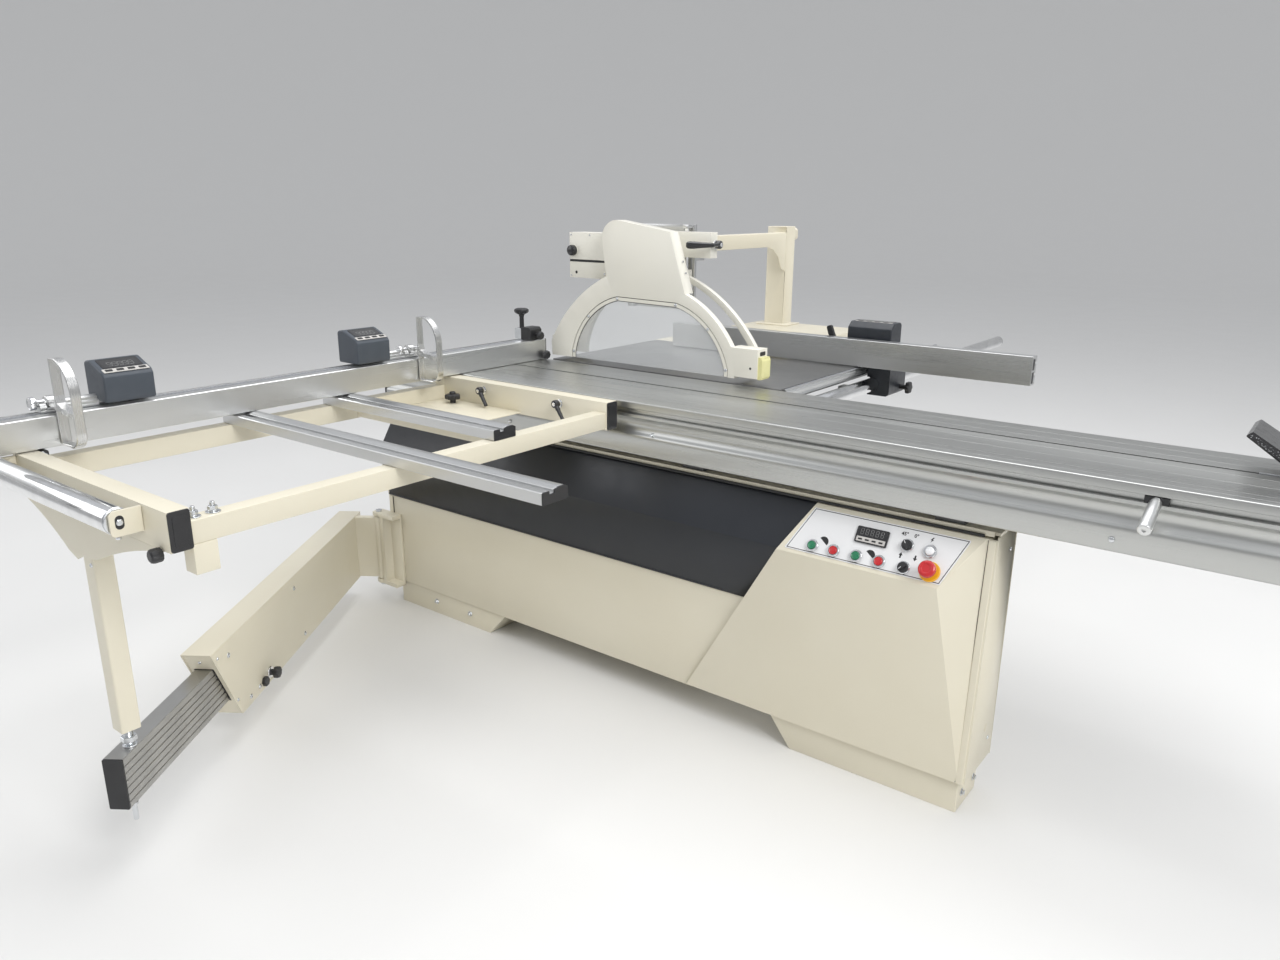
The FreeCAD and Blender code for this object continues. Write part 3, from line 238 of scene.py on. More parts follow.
GREEN = moulded("green_plastic", (0.010, 0.190, 0.085), (0.008, 0.15, 0.065), 0.30, 500, 0.06, 0.4)
YELLOW = moulded("yellow_plastic", (0.820, 0.430, 0.015), (0.76, 0.38, 0.012), 0.35, 500, 0.06, 0.3)
PALE_YELLOW = moulded("pale_yellow", (0.800, 0.770, 0.400), (0.74, 0.71, 0.34), 0.42, 500, 0.08)
KEYPAD = moulded("keypad_grey", (0.560, 0.540, 0.510), (0.50, 0.48, 0.46), 0.5)
LAMP = lens("lamp_lens", (0.86, 0.87, 0.88), 0.06)
DISPLAY = lens("display_window", (0.006, 0.006, 0.007))
SEGMENT = lens("display_segment", (0.165, 0.165, 0.160))
RULE = ruled("printed_rule", (0.30, 0.31, 0.33), (0.01, 0.01, 0.01))
WINDOW = clear_sheet()
SPECKLED = speckled()


# Mesh building ------------------------------------------------------------

def arc(center, radius, start, stop, steps):
    """Points of an arc, angles in degrees."""
    turns = [math.radians(start + (stop - start) * k / steps) for k in range(steps + 1)]
    return [(center[0] + radius * math.cos(t), center[1] + radius * math.sin(t)) for t in turns]


def rounded(points, radii, steps=5):
    """Outline with its corners rounded; radii is one number or one for each corner."""
    out = []
    count = len(points)
    for k, here in enumerate(points):
        r = radii if isinstance(radii, (int, float)) else radii[k]
        p = Vector(here)
        if r <= 0:
            out.append(tuple(p))
            continue
        a = (Vector(points[k - 1]) - p).normalized()
        b = (Vector(points[(k + 1) % count]) - p).normalized()
        half = a.angle(b) / 2
        cut = r / math.tan(half)
        first, last = p + a * cut, p + b * cut
        middle = p + (a + b).normalized() * (r / math.sin(half))
        start, end = first - middle, last - middle
        sweep = start.angle_signed(end)
        for j in range(steps + 1):
            turn = Matrix.Rotation(-sweep * j / steps, 2)
            out.append(tuple(middle + turn @ start))
    return out


def along(axis):
    """Rotation that takes local Z onto an axis."""
    return Vector(axis).to_track_quat("Z", "Y").to_matrix().to_4x4()


SAME_POINT = 2e-6          # metres, closer points become one


class Piece:
    """Gathers closed shells in millimetres into one object that rides on a body."""

    def __init__(self, name, body, *materials, place=None):
        self.name, self.body, self.materials = name, body, materials
        self.place = place or Matrix.Identity(4)
        self.mesh = bmesh.new()

    def _add(self, rings, caps, mat, matrix=None):
        """Skins a list of rings of points; caps are the rings closed with a face."""
        full = self.place @ (matrix or Matrix.Identity(4))
        rows = [[self.mesh.verts.new(full @ Vector(p) * MM) for p in ring] for ring in rings]
        faces = []
        for low, high in zip(rows, rows[1:]):
            count = len(low)
            for k in range(count):
                j = (k + 1) % count
                faces.append(self.mesh.faces.new((low[k], low[j], high[j], high[k])))
        for row in caps:
            faces.append(self.mesh.faces.new(rows[row] if row else rows[0][::-1]))
        for face in faces:
            face.material_index = mat

    def prism(self, outline, axis, low, high, mat=0, matrix=None):
        """Closed outline, extruded from low to high along X, Y or Z."""
        at = "XYZ".index(axis)
        rings = [[(*point[:at], h, *point[at:]) for point in outline] for h in (low, high)]
        self._add(rings, (0, -1), mat, matrix)

    def box(self, x, y, z, mat=0, matrix=None):
        """Block between two limits on each axis."""
        self.prism(rectangle(x, y), "Z", *z, mat, matrix)

    def lathe(self, profile, at=(0, 0, 0), axis=(0, 0, 1), mat=0, steps=40, lobes=0, depth=0.0):
        """Turned shape from (radius, height) pairs, with optional lobes round it."""
        turn = Matrix.Translation(at) @ along(axis)
        rings = []
        for r, h in profile:
            ring = []
            for k in range(steps):
                t = 2 * math.pi * k / steps
                s = r - (depth * (0.5 - 0.5 * math.cos(lobes * t)) if r > 4 * depth else 0.0)
                ring.append((s * math.cos(t), s * math.sin(t), h))
            rings.append(ring)
        self._add(rings, (0, -1), mat, turn)

    def ring(self, outer, inner, low, high, at, axis=(0, 0, 1), mat=0, steps=40, edge=0.6):
        """Washer or tube with broken edges."""
        turn = Matrix.Translation(at) @ along(axis)
        loop = [(inner, low), (outer - edge, low), (outer, low + edge), (outer, high - edge), (outer - edge, high),
                (inner, high)]
        rings = []
        for k in range(steps + 1):
            t = 2 * math.pi * (k % steps) / steps
            rings.append([(r * math.cos(t), r * math.sin(t), h) for r, h in loop])
        self._add(rings, (), mat, turn)

    def hexagon(self, across, low, high, at, axis=(0, 0, 1), mat=0):
        """Hexagon nut or head with chamfered corners."""
        r = across / math.sqrt(3)
        turn = Matrix.Translation(at) @ along(axis)
        rings = []
        for h, s in ((low, 0.93), (low + 0.8, 1.0), (high - 0.8, 1.0), (high, 0.93)):
            rings.append([(s * r * math.cos(k * math.pi / 3), s * r * math.sin(k * math.pi / 3), h)
                          for k in range(6)])
        self._add(rings, (0, -1), mat, turn)

    def bolt(self, at, axis, across):
        """Hexagon bolt head on a washer."""
        self.ring(across * 0.9, across * 0.2, 0.0, 1.8, at, axis, 0, 28, 0.3)
        self.hexagon(across, 1.8, 1.8 + across * 0.5, at, axis)

    def button_screw(self, at, axis, r=6.0, mat=0):
        """Domed socket screw."""
        dome = [(r, 0.0), (r, 0.8), (r * 0.9, 1.9), (r * 0.7, 2.7), (r * 0.45, 3.1), (r * 0.40, 3.1),
                (r * 0.36, 1.4), (0.01, 1.4)]
        self.lathe(dome, at, axis, mat, 24)

    def sweep(self, path, section, closed=False):
        """Section carried along a path; the section's first axis lies along Y."""
        rings = []
        up = Vector((0, 1, 0))
        points = [Vector(p) for p in path]
        count = len(points)
        for k, p in enumerate(points):
            before = points[k - 1] if (k or closed) else p
            after = points[(k + 1) % count] if (k < count - 1 or closed) else p
            ahead = (after - before).normalized()
            first = (up - ahead * up.dot(ahead)).normalized()
            second = ahead.cross(first)
            rings.append([p + first * a + second * b for a, b in section])
        if closed:
            rings.append(rings[0])
        self._add(rings, () if closed else (0, -1), 0)

    def finish(self, bevel, segments=2, sharp=30.0, replaces=None):
        """Makes the object, breaks its edges and puts it on its body."""
        bmesh.ops.remove_doubles(self.mesh, verts=self.mesh.verts, dist=SAME_POINT)
        bmesh.ops.recalc_face_normals(self.mesh, faces=self.mesh.faces)
        data = bpy.data.meshes.new(self.name)
        self.mesh.to_mesh(data)
        self.mesh.free()
        data.shade_smooth()
        data.set_sharp_from_angle(angle=math.radians(sharp))
        made = bpy.data.objects.new(self.name, data)
        bpy.context.scene.collection.objects.link(made)
        for material in self.materials:
            data.materials.append(material)
        if bevel:
            break_edges(made, bevel, segments, sharp)
        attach(made, self.body)
        if replaces:
            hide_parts(replaces)


def break_edges(made, width, segments=2, sharp=30.0):
    """Rounds the sharp edges of an object by a width in millimetres."""
    bevel = made.modifiers.new("edges", "BEVEL")
    bevel.width = width * MM
    bevel.segments = segments
    bevel.limit_method = "ANGLE"
    bevel.angle_limit = math.radians(sharp)
    bevel.harden_normals = True
    bevel.use_clamp_overlap = True
    bevel.miter_outer = "MITER_ARC"


def pierced_plate(name, body, outlines, thickness, place, material):
    """Flat plate on a body: its outer outline and then its holes, in its own XY, from z = 0 up."""
    curve = bpy.data.curves.new(name, "CURVE")
    curve.dimensions, curve.fill_mode = "2D", "BOTH"
    for outline in outlines:
        spline = curve.splines.new("POLY")
        spline.points.add(len(outline) - 1)
        for point, (a, b) in zip(spline.points, outline):
            point.co = (a * MM, b * MM, 0, 1)
        spline.use_cyclic_u = True
    curve.extrude = thickness * MM / 2
    data = mesh_of(name, curve)
    flat = bmesh.new()
    flat.from_mesh(data)
    bmesh.ops.remove_doubles(flat, verts=flat.verts, dist=SAME_POINT)
    bmesh.ops.dissolve_limit(flat, angle_limit=0.001, verts=flat.verts, edges=flat.edges)
    bmesh.ops.recalc_face_normals(flat, faces=flat.faces)
    flat.to_mesh(data)
    flat.free()
    made = place_mesh(name, body, data, place @ Matrix.Translation((0, 0, thickness / 2)), material)
    data.shade_smooth()
    data.set_sharp_from_angle(angle=math.radians(30))
    break_edges(made, 0.8)


def mesh_of(name, curve):
    """Mesh of a curve or of a line of text, which is removed afterwards."""
    holder = bpy.data.objects.new(name + "_outline", curve)
    data = bpy.data.meshes.new_from_object(holder)
    bpy.data.objects.remove(holder)
    data.name = name
    return data


def place_mesh(name, body, data, place, material):
    """Object made of a mesh in metres, moved to a place in millimetres, on a body."""
    move = place.copy()
    move.translation *= MM
    data.transform(move)
    data.materials.clear()
    data.materials.append(material)
    made = bpy.data.objects.new(name, data)
    bpy.context.scene.collection.objects.link(made)
    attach(made, body)
    return made


def axes(origin, x, y, z):
    """Place whose local axes are the given directions."""
    return Matrix.Translation(origin) @ Matrix((x, y, z)).transposed().to_4x4()


def through(a, b, c, steps=12):
    """Points of the arc from a to c by way of b."""
    a, b, c = Vector(a), Vector(b), Vector(c)
    d = 2 * (a.x * (b.y - c.y) + b.x * (c.y - a.y) + c.x * (a.y - b.y))
    x = (a.length_squared * (b.y - c.y) + b.length_squared * (c.y - a.y) + c.length_squared * (a.y - b.y)) / d
    y = (a.length_squared * (c.x - b.x) + b.length_squared * (a.x - c.x) + c.length_squared * (b.x - a.x)) / d
    middle = Vector((x, y))
    first, mid, last = (math.atan2(*(p - middle).yx) for p in (a, b, c))
    turn = (last - first) % (2 * math.pi)
    if (mid - first) % (2 * math.pi) > turn:
        turn -= 2 * math.pi
    r = (a - middle).length
    return [(x + r * math.cos(first + turn * k / steps), y + r * math.sin(first + turn * k / steps))
            for k in range(steps + 1)]


def offset(line, distance):
    """Open line moved sideways, to the left of its direction for a positive distance."""
    out = []
    points = [Vector(p) for p in line]
    for k, p in enumerate(points):
        a = (p - points[k - 1]).normalized() if k else None
        b = (points[k + 1] - p).normalized() if k < len(points) - 1 else None
        a, b = a or b, b or a
        normal = Vector((-(a + b).y, (a + b).x)).normalized()
        out.append(tuple(p + normal * distance / max(0.5, normal.dot(Vector((-a.y, a.x))))))
    return out


def rectangle(x, y, radius=0.0, steps=4):
    """Rectangle outline with rounded corners."""
    corners = [(x[0], y[0]), (x[1], y[0]), (x[1], y[1]), (x[0], y[1])]
    return rounded(corners, radius, steps) if radius else corners


def dress(node, material, bevel=1.0, segments=2, other=None, where=None):
    """Gives a CAD node its material, and another one to the faces that a test picks; softens its edges."""
    made = NODES[node]
    made.data.materials.clear()
    made.data.materials.append(material)
    if other:
        made.data.materials.append(other)
    for face in made.data.polygons:
        face.material_index = int(bool(other) and where(face.center / MM))
    made.data.shade_smooth()
    made.data.set_sharp_from_angle(angle=math.radians(30))
    weld = made.modifiers.new("weld", "WELD")
    weld.merge_threshold = 1e-5
    if bevel:
        break_edges(made, bevel, segments)


# Base ---------------------------------------------------------------------

FRONT = -366.0             # face of the lower front panel
CAB_X = (-1518.0, 572.0)


def cabinet():
    """Cabinet panels, covers, tables and post, which keep their CAD shapes."""
    dress("plinths", CREAM, 2.5, 3)
    dress("cabinet_shell", CREAM, 1.2)
    dress("front_panel", CREAM, 1.5)
    dress("upper_cover", COVER, 1.0)
    dress("control_box", CREAM, 1.6, 3)
    dress("arm_bracket", CREAM, 1.5, 2, ZINC, lambda c: c.z > 335 or c.z < 68)
    dress("tilt_trunnions", RAW_IRON, 1.5)
    dress("dust_port", BLACK, 1.0)
    dress("table_supports", RAW_IRON, 2.0)
    dress("slide_beam", ALU_X, 1.0, 2, CHROME, lambda c: c.z > 800.5)
    dress("roller_cage", STEEL, 0.4)
    dress("extension_table", CREAM, 1.5, 3)
    dress("cast_table", IRON, 1.2, 3)
    dress("guard_post", CREAM, 2.5, 3)
    dress("guard_head", ALU_X, 1.0, 2, CHROME, lambda c: abs(c.y - 188) < 8 and 1073 < c.z < 1317)


def cover_trim():
    """Pale edge on the deck above the black cover, with a dark strip under it that is painted shade in the gap."""
    edge = Piece("deck_edge", "base", CREAM, RUBBER_AND_SHADE)
    edge.box((CAB_X[0], 560), (-324, -317.2), (690, 703))
    # dark strip: painted shade in the gap under the deck edge
    edge.box((CAB_X[0] + 2, 540), (-330, -324.5), (688, 694), 1)
    edge.finish(1.0)
    flange_and_shadow_line = Piece("left_flange", "base", CREAM, RUBBER_AND_SHADE)
    flange_and_shadow_line.prism(rectangle((FRONT - 2.4, FRONT - 0.4), (84, 396)), "X", -1517, -1499)
    # dark strip: painted shadow line beside the flange
    flange_and_shadow_line.prism(rectangle((FRONT - 1.2, FRONT - 0.4), (86, 394)), "X", -1498, -1495, 1)
    flange_and_shadow_line.prism([(FRONT - 1.6, 392), (FRONT - 0.4, 392), (-395, 568), (-396.6, 567)], "X", -1517.5, -1512)
    flange_and_shadow_line.finish(0.6)
    crease = Piece("cover_crease_bead", "base", COVER)
    crease.prism([(-370.5, 402), (-369.2, 402), (-369.2, 407), (-370.5, 406)], "X", -1516, -110)
    crease.finish(0.3)


def right_flange():
    """Folded lip between the control housing's facet and the right end panel, with a dark strip beside it that is
    painted shadow in the gap.
    """
    rise = Vector((0, 45, 598)).normalized()
    place = axes((0, -372, 87), (1, 0, 0), rise, Vector((0, -rise.z, rise.y)))
    lip = Piece("right_flange_lip", "base", CREAM, RUBBER_AND_SHADE, place=place)
    lip.prism([(550.5, 0.1), (567.5, 0.1), (567.5, 1.8), (565.5, 3.2), (552.5, 3.2), (550.5, 1.8)], "Y", 2, 598)
    # dark strip: painted shadow beside the lip
    lip.box((548.8, 550.4), (2, 597), (0.1, 0.7), 1)
    lip.finish(0.5, 2)


def service_panels():
    """Doors, louvres and fasteners on the cabinet's back, sides and right end."""
    door = Piece("rear_door", "base", CREAM, BLACK, ZINC)
    door.prism(rectangle((-780, -240), (140, 640), 12), "Y", 274.2, 276.6)
    for z in range(210, 331, 20):
        slat = [(276.4, z), (276.4, z + 12), (281.0, z + 3), (280.4, z)]
        door.prism(slat, "X", -640, -380)
        # dark strip behind each slat: painted shade in the louvre opening
        door.box((-636, -384), (275.8, 276.8), (z + 12.5, z + 15.0), 1)
    for x, z in ((-262, 200), (-262, 580)):
        door.lathe([(11, 0), (11, 3), (9, 5), (6.5, 5), (6.5, 3.6), (0.01, 3.6)], (x, 276.5, z), (0, 1, 0), 1)
    for z in (200, 390, 580):
        door.prism(rectangle((-786, -770), (z - 26, z + 26), 3), "Y", 276.6, 279.0)
        door.lathe([(4.2, -24), (4.2, 24)], (-782, 280.4, z), (0, 0, 1), 2)
    door.finish(0.6)
    label = Piece("rating_plate_blank", "base", ALU_X, ZINC)
    label.prism(rectangle((-1060, -970), (560, 620), 4), "Y", 274.2, 275.0)
    for x in (-1054, -976):
        for z in (566, 614):
            label.button_screw((x, 275, z), (0, 1, 0), 2.6, 1)
    label.finish(0.2)
    bay = Piece("front_box_rear_cover", "base", CREAM, ZINC)
    bay.prism(rectangle((-150, 530), (130, 650), 10), "Y", -189.8, -187.6)
    bay.prism(rectangle((-1480, -1140), (130, 650), 10), "Y", -189.8, -187.6)
    for x in (-138, 190, 518, -1468, -1152):
        for z in (142, 390, 638):
            bay.button_screw((x, -187.6, z), (0, 1, 0), 5.0, 1)
    bay.finish(0.6)
    end = Piece("end_fasteners", "base", ZINC, BLACK, CREAM)
    for z in (150, 640):
        end.button_screw((CAB_X[1], -232, z), (1, 0, 0), 5.0, 0)
    end.prism(rectangle((-262, -250), (178, 196), 3), "X", CAB_X[1], CAB_X[1] + 0.8, 2)
    for y in (-330, -250):
        end.bolt((554.2, y, 42), (1, 0, 0), 11)
    for x in (-1130, -1300):
        end.bolt((x, -360.2, 44), (0, -1, 0), 11)
    end.finish(0.3)
    cable = Piece("power_inlet", "base", GLOSS_BLACK, SLATE)
    cable.prism(rectangle((-470, -390), (330, 420), 8), "Y", 277, 312, 1)
    gland = [(14, 0), (16, 2), (16, 14), (13, 18), (8, 22), (0.01, 22)]
    cable.lathe(gland, (-430, 295, 330.5), (0, 0, -1), 0, 28, 14, 0.8)
    cable.finish(2.0, 3)


# Controls -----------------------------------------------------------------

RISE = Vector((0, 75, 115)).normalized()
OUTWARD = Vector((0, -RISE.z, RISE.y))
PANEL = axes(Vector((0, -396, 570)) + OUTWARD * 5.028, (1, 0, 0), RISE, OUTWARD)
BUTTONS = {"main_start": (152, 26), "main_stop": (209, 25.5), "scoring_start": (267, 25.5),
           "scoring_stop": (325, 25.5)}
SELECTORS = {"tilt": (379, 78), "rise": (385, 25)}
LAMP_AT = (434, 76)
E_STOP_AT = (446, 30)


def lettering(text, at, height, name):
    """Generic dial marking as raised ink on the control face."""
    curve = bpy.data.curves.new(name, "FONT")
    curve.body, curve.size, curve.extrude, curve.align_x = text, height * MM, 0.08 * MM, "CENTER"
    curve.offset = 0.35 * MM
    place_mesh(name, "base", mesh_of(name, curve), PANEL @ Matrix.Translation((*at, 1.62)), PRINT)


def control_face():
    """Face plate with its printed border and symbols, collars, lamp and meter."""
    corners = [(80, 6), (474, 6), (516, 122), (128, 122)]
    face = Piece("face_plate", "base", PLATE, place=PANEL)
    face.prism(rounded(corners, 3), "Z", 0.02, 1.52)
    face.finish(0.3, replaces="control_plate")
    inked = Piece("face_print", "base", PRINT, place=PANEL)
    border = [(86.5, 9.5), (471.5, 9.5), (511, 118.5), (131, 118.5)]
    for a, b in zip(border, border[1:] + border[:1]):
        side = (Vector(b) - Vector(a)).normalized() * 0.9
        edge = Vector((-side.y, side.x))
        inked.prism([tuple(Vector(a) - side + edge), tuple(Vector(a) - side - edge),
                     tuple(Vector(b) + side - edge), tuple(Vector(b) + side + edge)], "Z", 1.45, 1.58)
    for u, v in ((180, 42), (302, 36)):
        inked.prism(arc((u - 4, v), 13, -35, 145, 12), "Z", 1.45, 1.6)
    inked.prism([(367, 46), (371, 46), (371, 53), (374, 53), (369, 60), (364, 53), (367, 53)], "Z", 1.45, 1.6)
    inked.prism([(402, 60), (406, 60), (406, 53), (409, 53), (404, 46), (399, 53), (402, 53)], "Z", 1.45, 1.6)
    inked.prism([(431, 110), (426, 103), (429.5, 103), (427, 97), (434, 104.5), (430.5, 104.5), (434.5, 110)],
                "Z", 1.45, 1.6)
    inked.finish(0)
    lettering("45°", (365, 101), 12, "mark_45")
    lettering("0°", (393, 101), 12, "mark_0")
    collars = Piece("button_collars", "base", COLLAR, BLACK, place=PANEL)
    for u, v in list(BUTTONS.values()) + list(SELECTORS.values()) + [LAMP_AT]:
        collars.ring(15.5, 11.4, 1.52, 8.6, (u, v, 0), edge=1.2, steps=48)
        collars.ring(11.6, 10.75, 1.52, 7.8, (u, v, 0), mat=1, edge=0.2, steps=48)
    collars.finish(0.3)
    lamp = Piece("pilot_lamp", "base", LAMP, place=PANEL)
    lamp.lathe([(10.6, 1.6), (10.6, 9.4), (10.0, 11.2), (8.2, 12.6), (5.2, 13.5), (0.01, 13.9)],
               (*LAMP_AT, 0), steps=48)
    lamp.finish(0.2)
    collar = Piece("stop_collar", "base", YELLOW, place=PANEL)
    collar.ring(24, 11.2, 1.55, 7.6, (*E_STOP_AT, 0), edge=2.2, steps=56)
    collar.finish(0.4)
    meter = Piece("digital_meter", "base", GLOSS_BLACK, DISPLAY, SEGMENT, KEYPAD, PRINT, place=PANEL)
    meter.prism(rectangle((251, 331), (60, 100), 3), "Z", 1.55, 6.0)
    meter.prism(rectangle((256, 326), (79, 97), 1.5), "Z", 5.9, 6.5, 1)
    for k in range(5):
        u = 262 + k * 12.6
        for seg in (((u, u + 6.5), (94.4, 95.6)), ((u, u + 6.5), (87.4, 88.4)), ((u, u + 6.5), (80.4, 81.6)),
                    ((u - 0.6, u + 0.7), (88.6, 94.2)), ((u - 0.6, u + 0.7), (81.8, 87.2)),
                    ((u + 6, u + 7.3), (88.6, 94.2)), ((u + 6, u + 7.3), (81.8, 87.2))):
            meter.box(*seg, (6.3, 6.65), 2)
    meter.prism(rectangle((255, 327), (63, 75), 1.5), "Z", 5.9, 6.6, 3)
    for k in range(4):
        meter.prism(rectangle((260 + k * 17.2, 270 + k * 17.2), (66.6, 70.6), 1.2), "Z", 6.5, 7.3, 4)
    meter.finish(0.4, 2)


def push_buttons():
    """Four button caps, two selectors and the mushroom stop button."""
    cap = [(10.4, 0.5), (10.4, 10.2), (9.9, 11.2), (9.0, 11.7), (7.8, 11.0), (7.2, 10.6), (3.5, 11.0),
           (0.01, 11.2)]
    stem = [(6, -12), (6, 0.6)]
    for body, at in BUTTONS.items():
        color, slot = (GREEN, "green_plastic") if "start" in body else (RED, "red_plastic")
        made = Piece(body + "_cap", body, color, place=PANEL)
        made.lathe(cap, (*at, 0), steps=48)
        made.lathe(stem, (*at, 0))
        made.finish(0.2, replaces=body + "_button")
    for name, (u, v) in SELECTORS.items():
        turn = Matrix.Translation((u, v, 0)) @ Matrix.Rotation(math.radians(38 if name == "tilt" else 142), 4, "Z")
        made = Piece(name + "_knob", name + "_switch", BLACK, PLATE, place=PANEL @ turn)
        made.lathe([(12.5, 9.0), (12.5, 11.5), (11.6, 12.6), (9.5, 13.2), (0.01, 13.2)], steps=48)
        pointer = [(-4.5, -10.5), (4.5, -10.5), (5.2, -2), (3.0, 9.5), (0, 12.2), (-3.0, 9.5), (-5.2, -2)]
        made.prism(rounded(pointer, 1.4, 3), "Z", 12.4, 18.8)
        made.prism([(-0.7, 2), (0.7, 2), (0.5, 10), (-0.5, 10)], "Z", 18.7, 19.05, 1)
        made.lathe(stem, steps=24)
        made.finish(0.8, 3, replaces=name + "_selector")
    stop = Piece("e_stop_head", "e_stop", RED, place=PANEL)
    stop.lathe([(15.0, 21.8), (18.6, 22.6), (20, 25.0), (20, 30.0), (18.9, 33.4), (16.4, 35.4), (12.6, 36.0),
                (10.4, 35.2), (9.6, 34.2), (4, 33.8), (0.01, 33.8)], (*E_STOP_AT, 0), steps=56)
    stop.lathe([(8, -12), (8, 8), (10.4, 9.5), (13.0, 22.2)], (*E_STOP_AT, 0))
    stop.finish(0.2, replaces="e_stop_button")


# Sliding table ------------------------------------------------------------

SLIDE_X = (-1492.0, 1700.0)
SLIDE_Y = (-366.0, 24.0)
TOP = 875.0


def slide_profile():
    """Outline of the sliding table in Y and Z, with its waisted side and its grooves."""
    y0, y1 = SLIDE_Y
    side = [(y0, 871.5)] + arc((y0 + 3.5, 871.5), 3.5, 180, 90, 4)[1:]
    top = []
    for y, half, depth in ((-338, 0.5, 0.6), (-308, 1.0, 2.0), (-240, 0.5, 0.6), (-176, 0.5, 0.6)):
        top += [(y - half, TOP), (y - half, TOP - depth), (y + half, TOP - depth), (y + half, TOP)]
    slot = [(-134, TOP), (-134, 868), (-139, 868), (-139, 859), (-119, 859), (-119, 868), (-124, 868), (-124, TOP)]
    ridge = []
    for y in (-84, -30):
        ridge += [(y, TOP), (y, TOP - 0.6), (y + 1, TOP - 0.6), (y + 1, TOP)]
    edge = [(y1 - 2, TOP), (y1, 873), (y1, 871.5), (18, 867), (-112, 867), (-112, 853), (-128, 853), (-128, 735),
            (-140, 735), (-140, 838), (y0 + 25, 838)]
    inside = [(y0 + 25, 790), (y0 + 16, 727), (y0 + 14, 725), (y0 + 6, 725)]
    foot = [(y0 + 4, 727)] + through((y0 + 4, 728), (y0 + 0.8, 752), (y0, 778), 8)
    waist = [(y0 + 1, 781)] + through((y0 + 2.5, 784), (y0 + 12.5, 806), (y0 + 3, 828), 14)
    waist += [(y0, 832), (y0, 839)]
    groove = [(y0 + 6, 839), (y0 + 6, 837), (y0 + 14, 837), (y0 + 14, 857), (y0 + 6, 857), (y0 + 6, 855),
              (y0 + 1, 855), (y0, 856)]
    return side + top + slot + ridge + edge + inside + foot + waist + groove


def sliding_table():
    """The long extrusion, its end plates with screws, and its push handle."""
    body = Piece("table_extrusion", "table", SLIDE)
    body.prism(slide_profile(), "X", *SLIDE_X)
    body.finish(0.35, 2, 24, replaces="slide_table")
    y0, y1 = SLIDE_Y
    for name, x, way in (("far_end_plate", SLIDE_X[0], -1), ("near_end_plate", SLIDE_X[1], 1)):
        made = Piece(name, "table", BLACK, ZINC)
        edge = rounded([(y0, TOP), (y0, 725), (y0 + 16, 725), (y0 + 25, 838), (-140, 838), (-140, 735),
                        (-126, 735), (-112, 867), (18, 867), (y1, TOP)], [3, 3, 3, 2, 2, 3, 3, 2, 2, 3], 3)
        made.prism(edge, "X", x, x + 8 * way)
        for y, z in ((y0 + 9, 750), (y0 + 9, 812), (y0 + 40, 857), (-200, 857), (-133, 760), (-40, 870.5)):
            made.button_screw((x + 8 * way, y, z), (way, 0, 0), 3.6 if z > 865 else 5.0, 1)
        made.finish(0.8, 2)
    handle = Piece("push_handle_turned", "table", ALU_Y, BLACK)
    handle.lathe([(9, 0), (9, 4), (11, 6), (12.2, 12), (12.6, 60), (13, 92), (13, 99), (12.2, 101.4),
                  (10.5, 102.4), (4, 102.4), (4, 99), (0.01, 99)], (868, -365.6, 846), (0, -1, -0.35), 0, 44)
    handle.box((846, 890), (-366.4, -353.5), (840, 854), 1)
    handle.finish(0.4, replaces="push_handle")
    bits = Piece("side_fasteners", "table", ZINC, BLACK)
    dome = [(6.5, 0), (6.5, 2.5), (5.4, 4.4), (2.5, 5.6), (0.01, 5.9)]
    for x in (800, -900):
        bits.lathe(dome, (x, -364.7, 752), (0, -1, 0), 0, 24)
    bits.lathe([(4, 0), (4, 14), (3, 15), (0.01, 15)], (-360, -356, 790), (0, -1, 0), 0, 20)
    bits.finish(0.2)


def shoe():
    """Edging shoe: glossy leaning bar with a cut rubber side, standing in the top slot."""
    made = Piece("edging_shoe_bar", "shoe", GLOSS_BLACK, SPECKLED, ZINC)
    outline = rounded([(976, 952), (988, 962), (1104, 893), (1104, 876.5), (1086, 876.5)], [3, 3, 4, 3, 3], 4)
    made.prism(outline, "Y", -149.5, -0.5)
    grip = rounded([(982, 952), (988, 957), (1100, 890), (1100, 880), (1088, 880)], 2, 3)
    made.prism(grip, "Y", -150.6, -149.4, 1)
    made.prism(rectangle((1010, 1100), (862, 877), 2), "Y", -132.4, -125.6, 2)
    made.finish(1.0, 3, replaces="edging_shoe")


# Outrigger ----------------------------------------------------------------

OUT_X = (-1175.0, -473.0)
OUT_Y = (-1628.0, -376.0)
BARS = ((-1130, -44), (-832, -482))


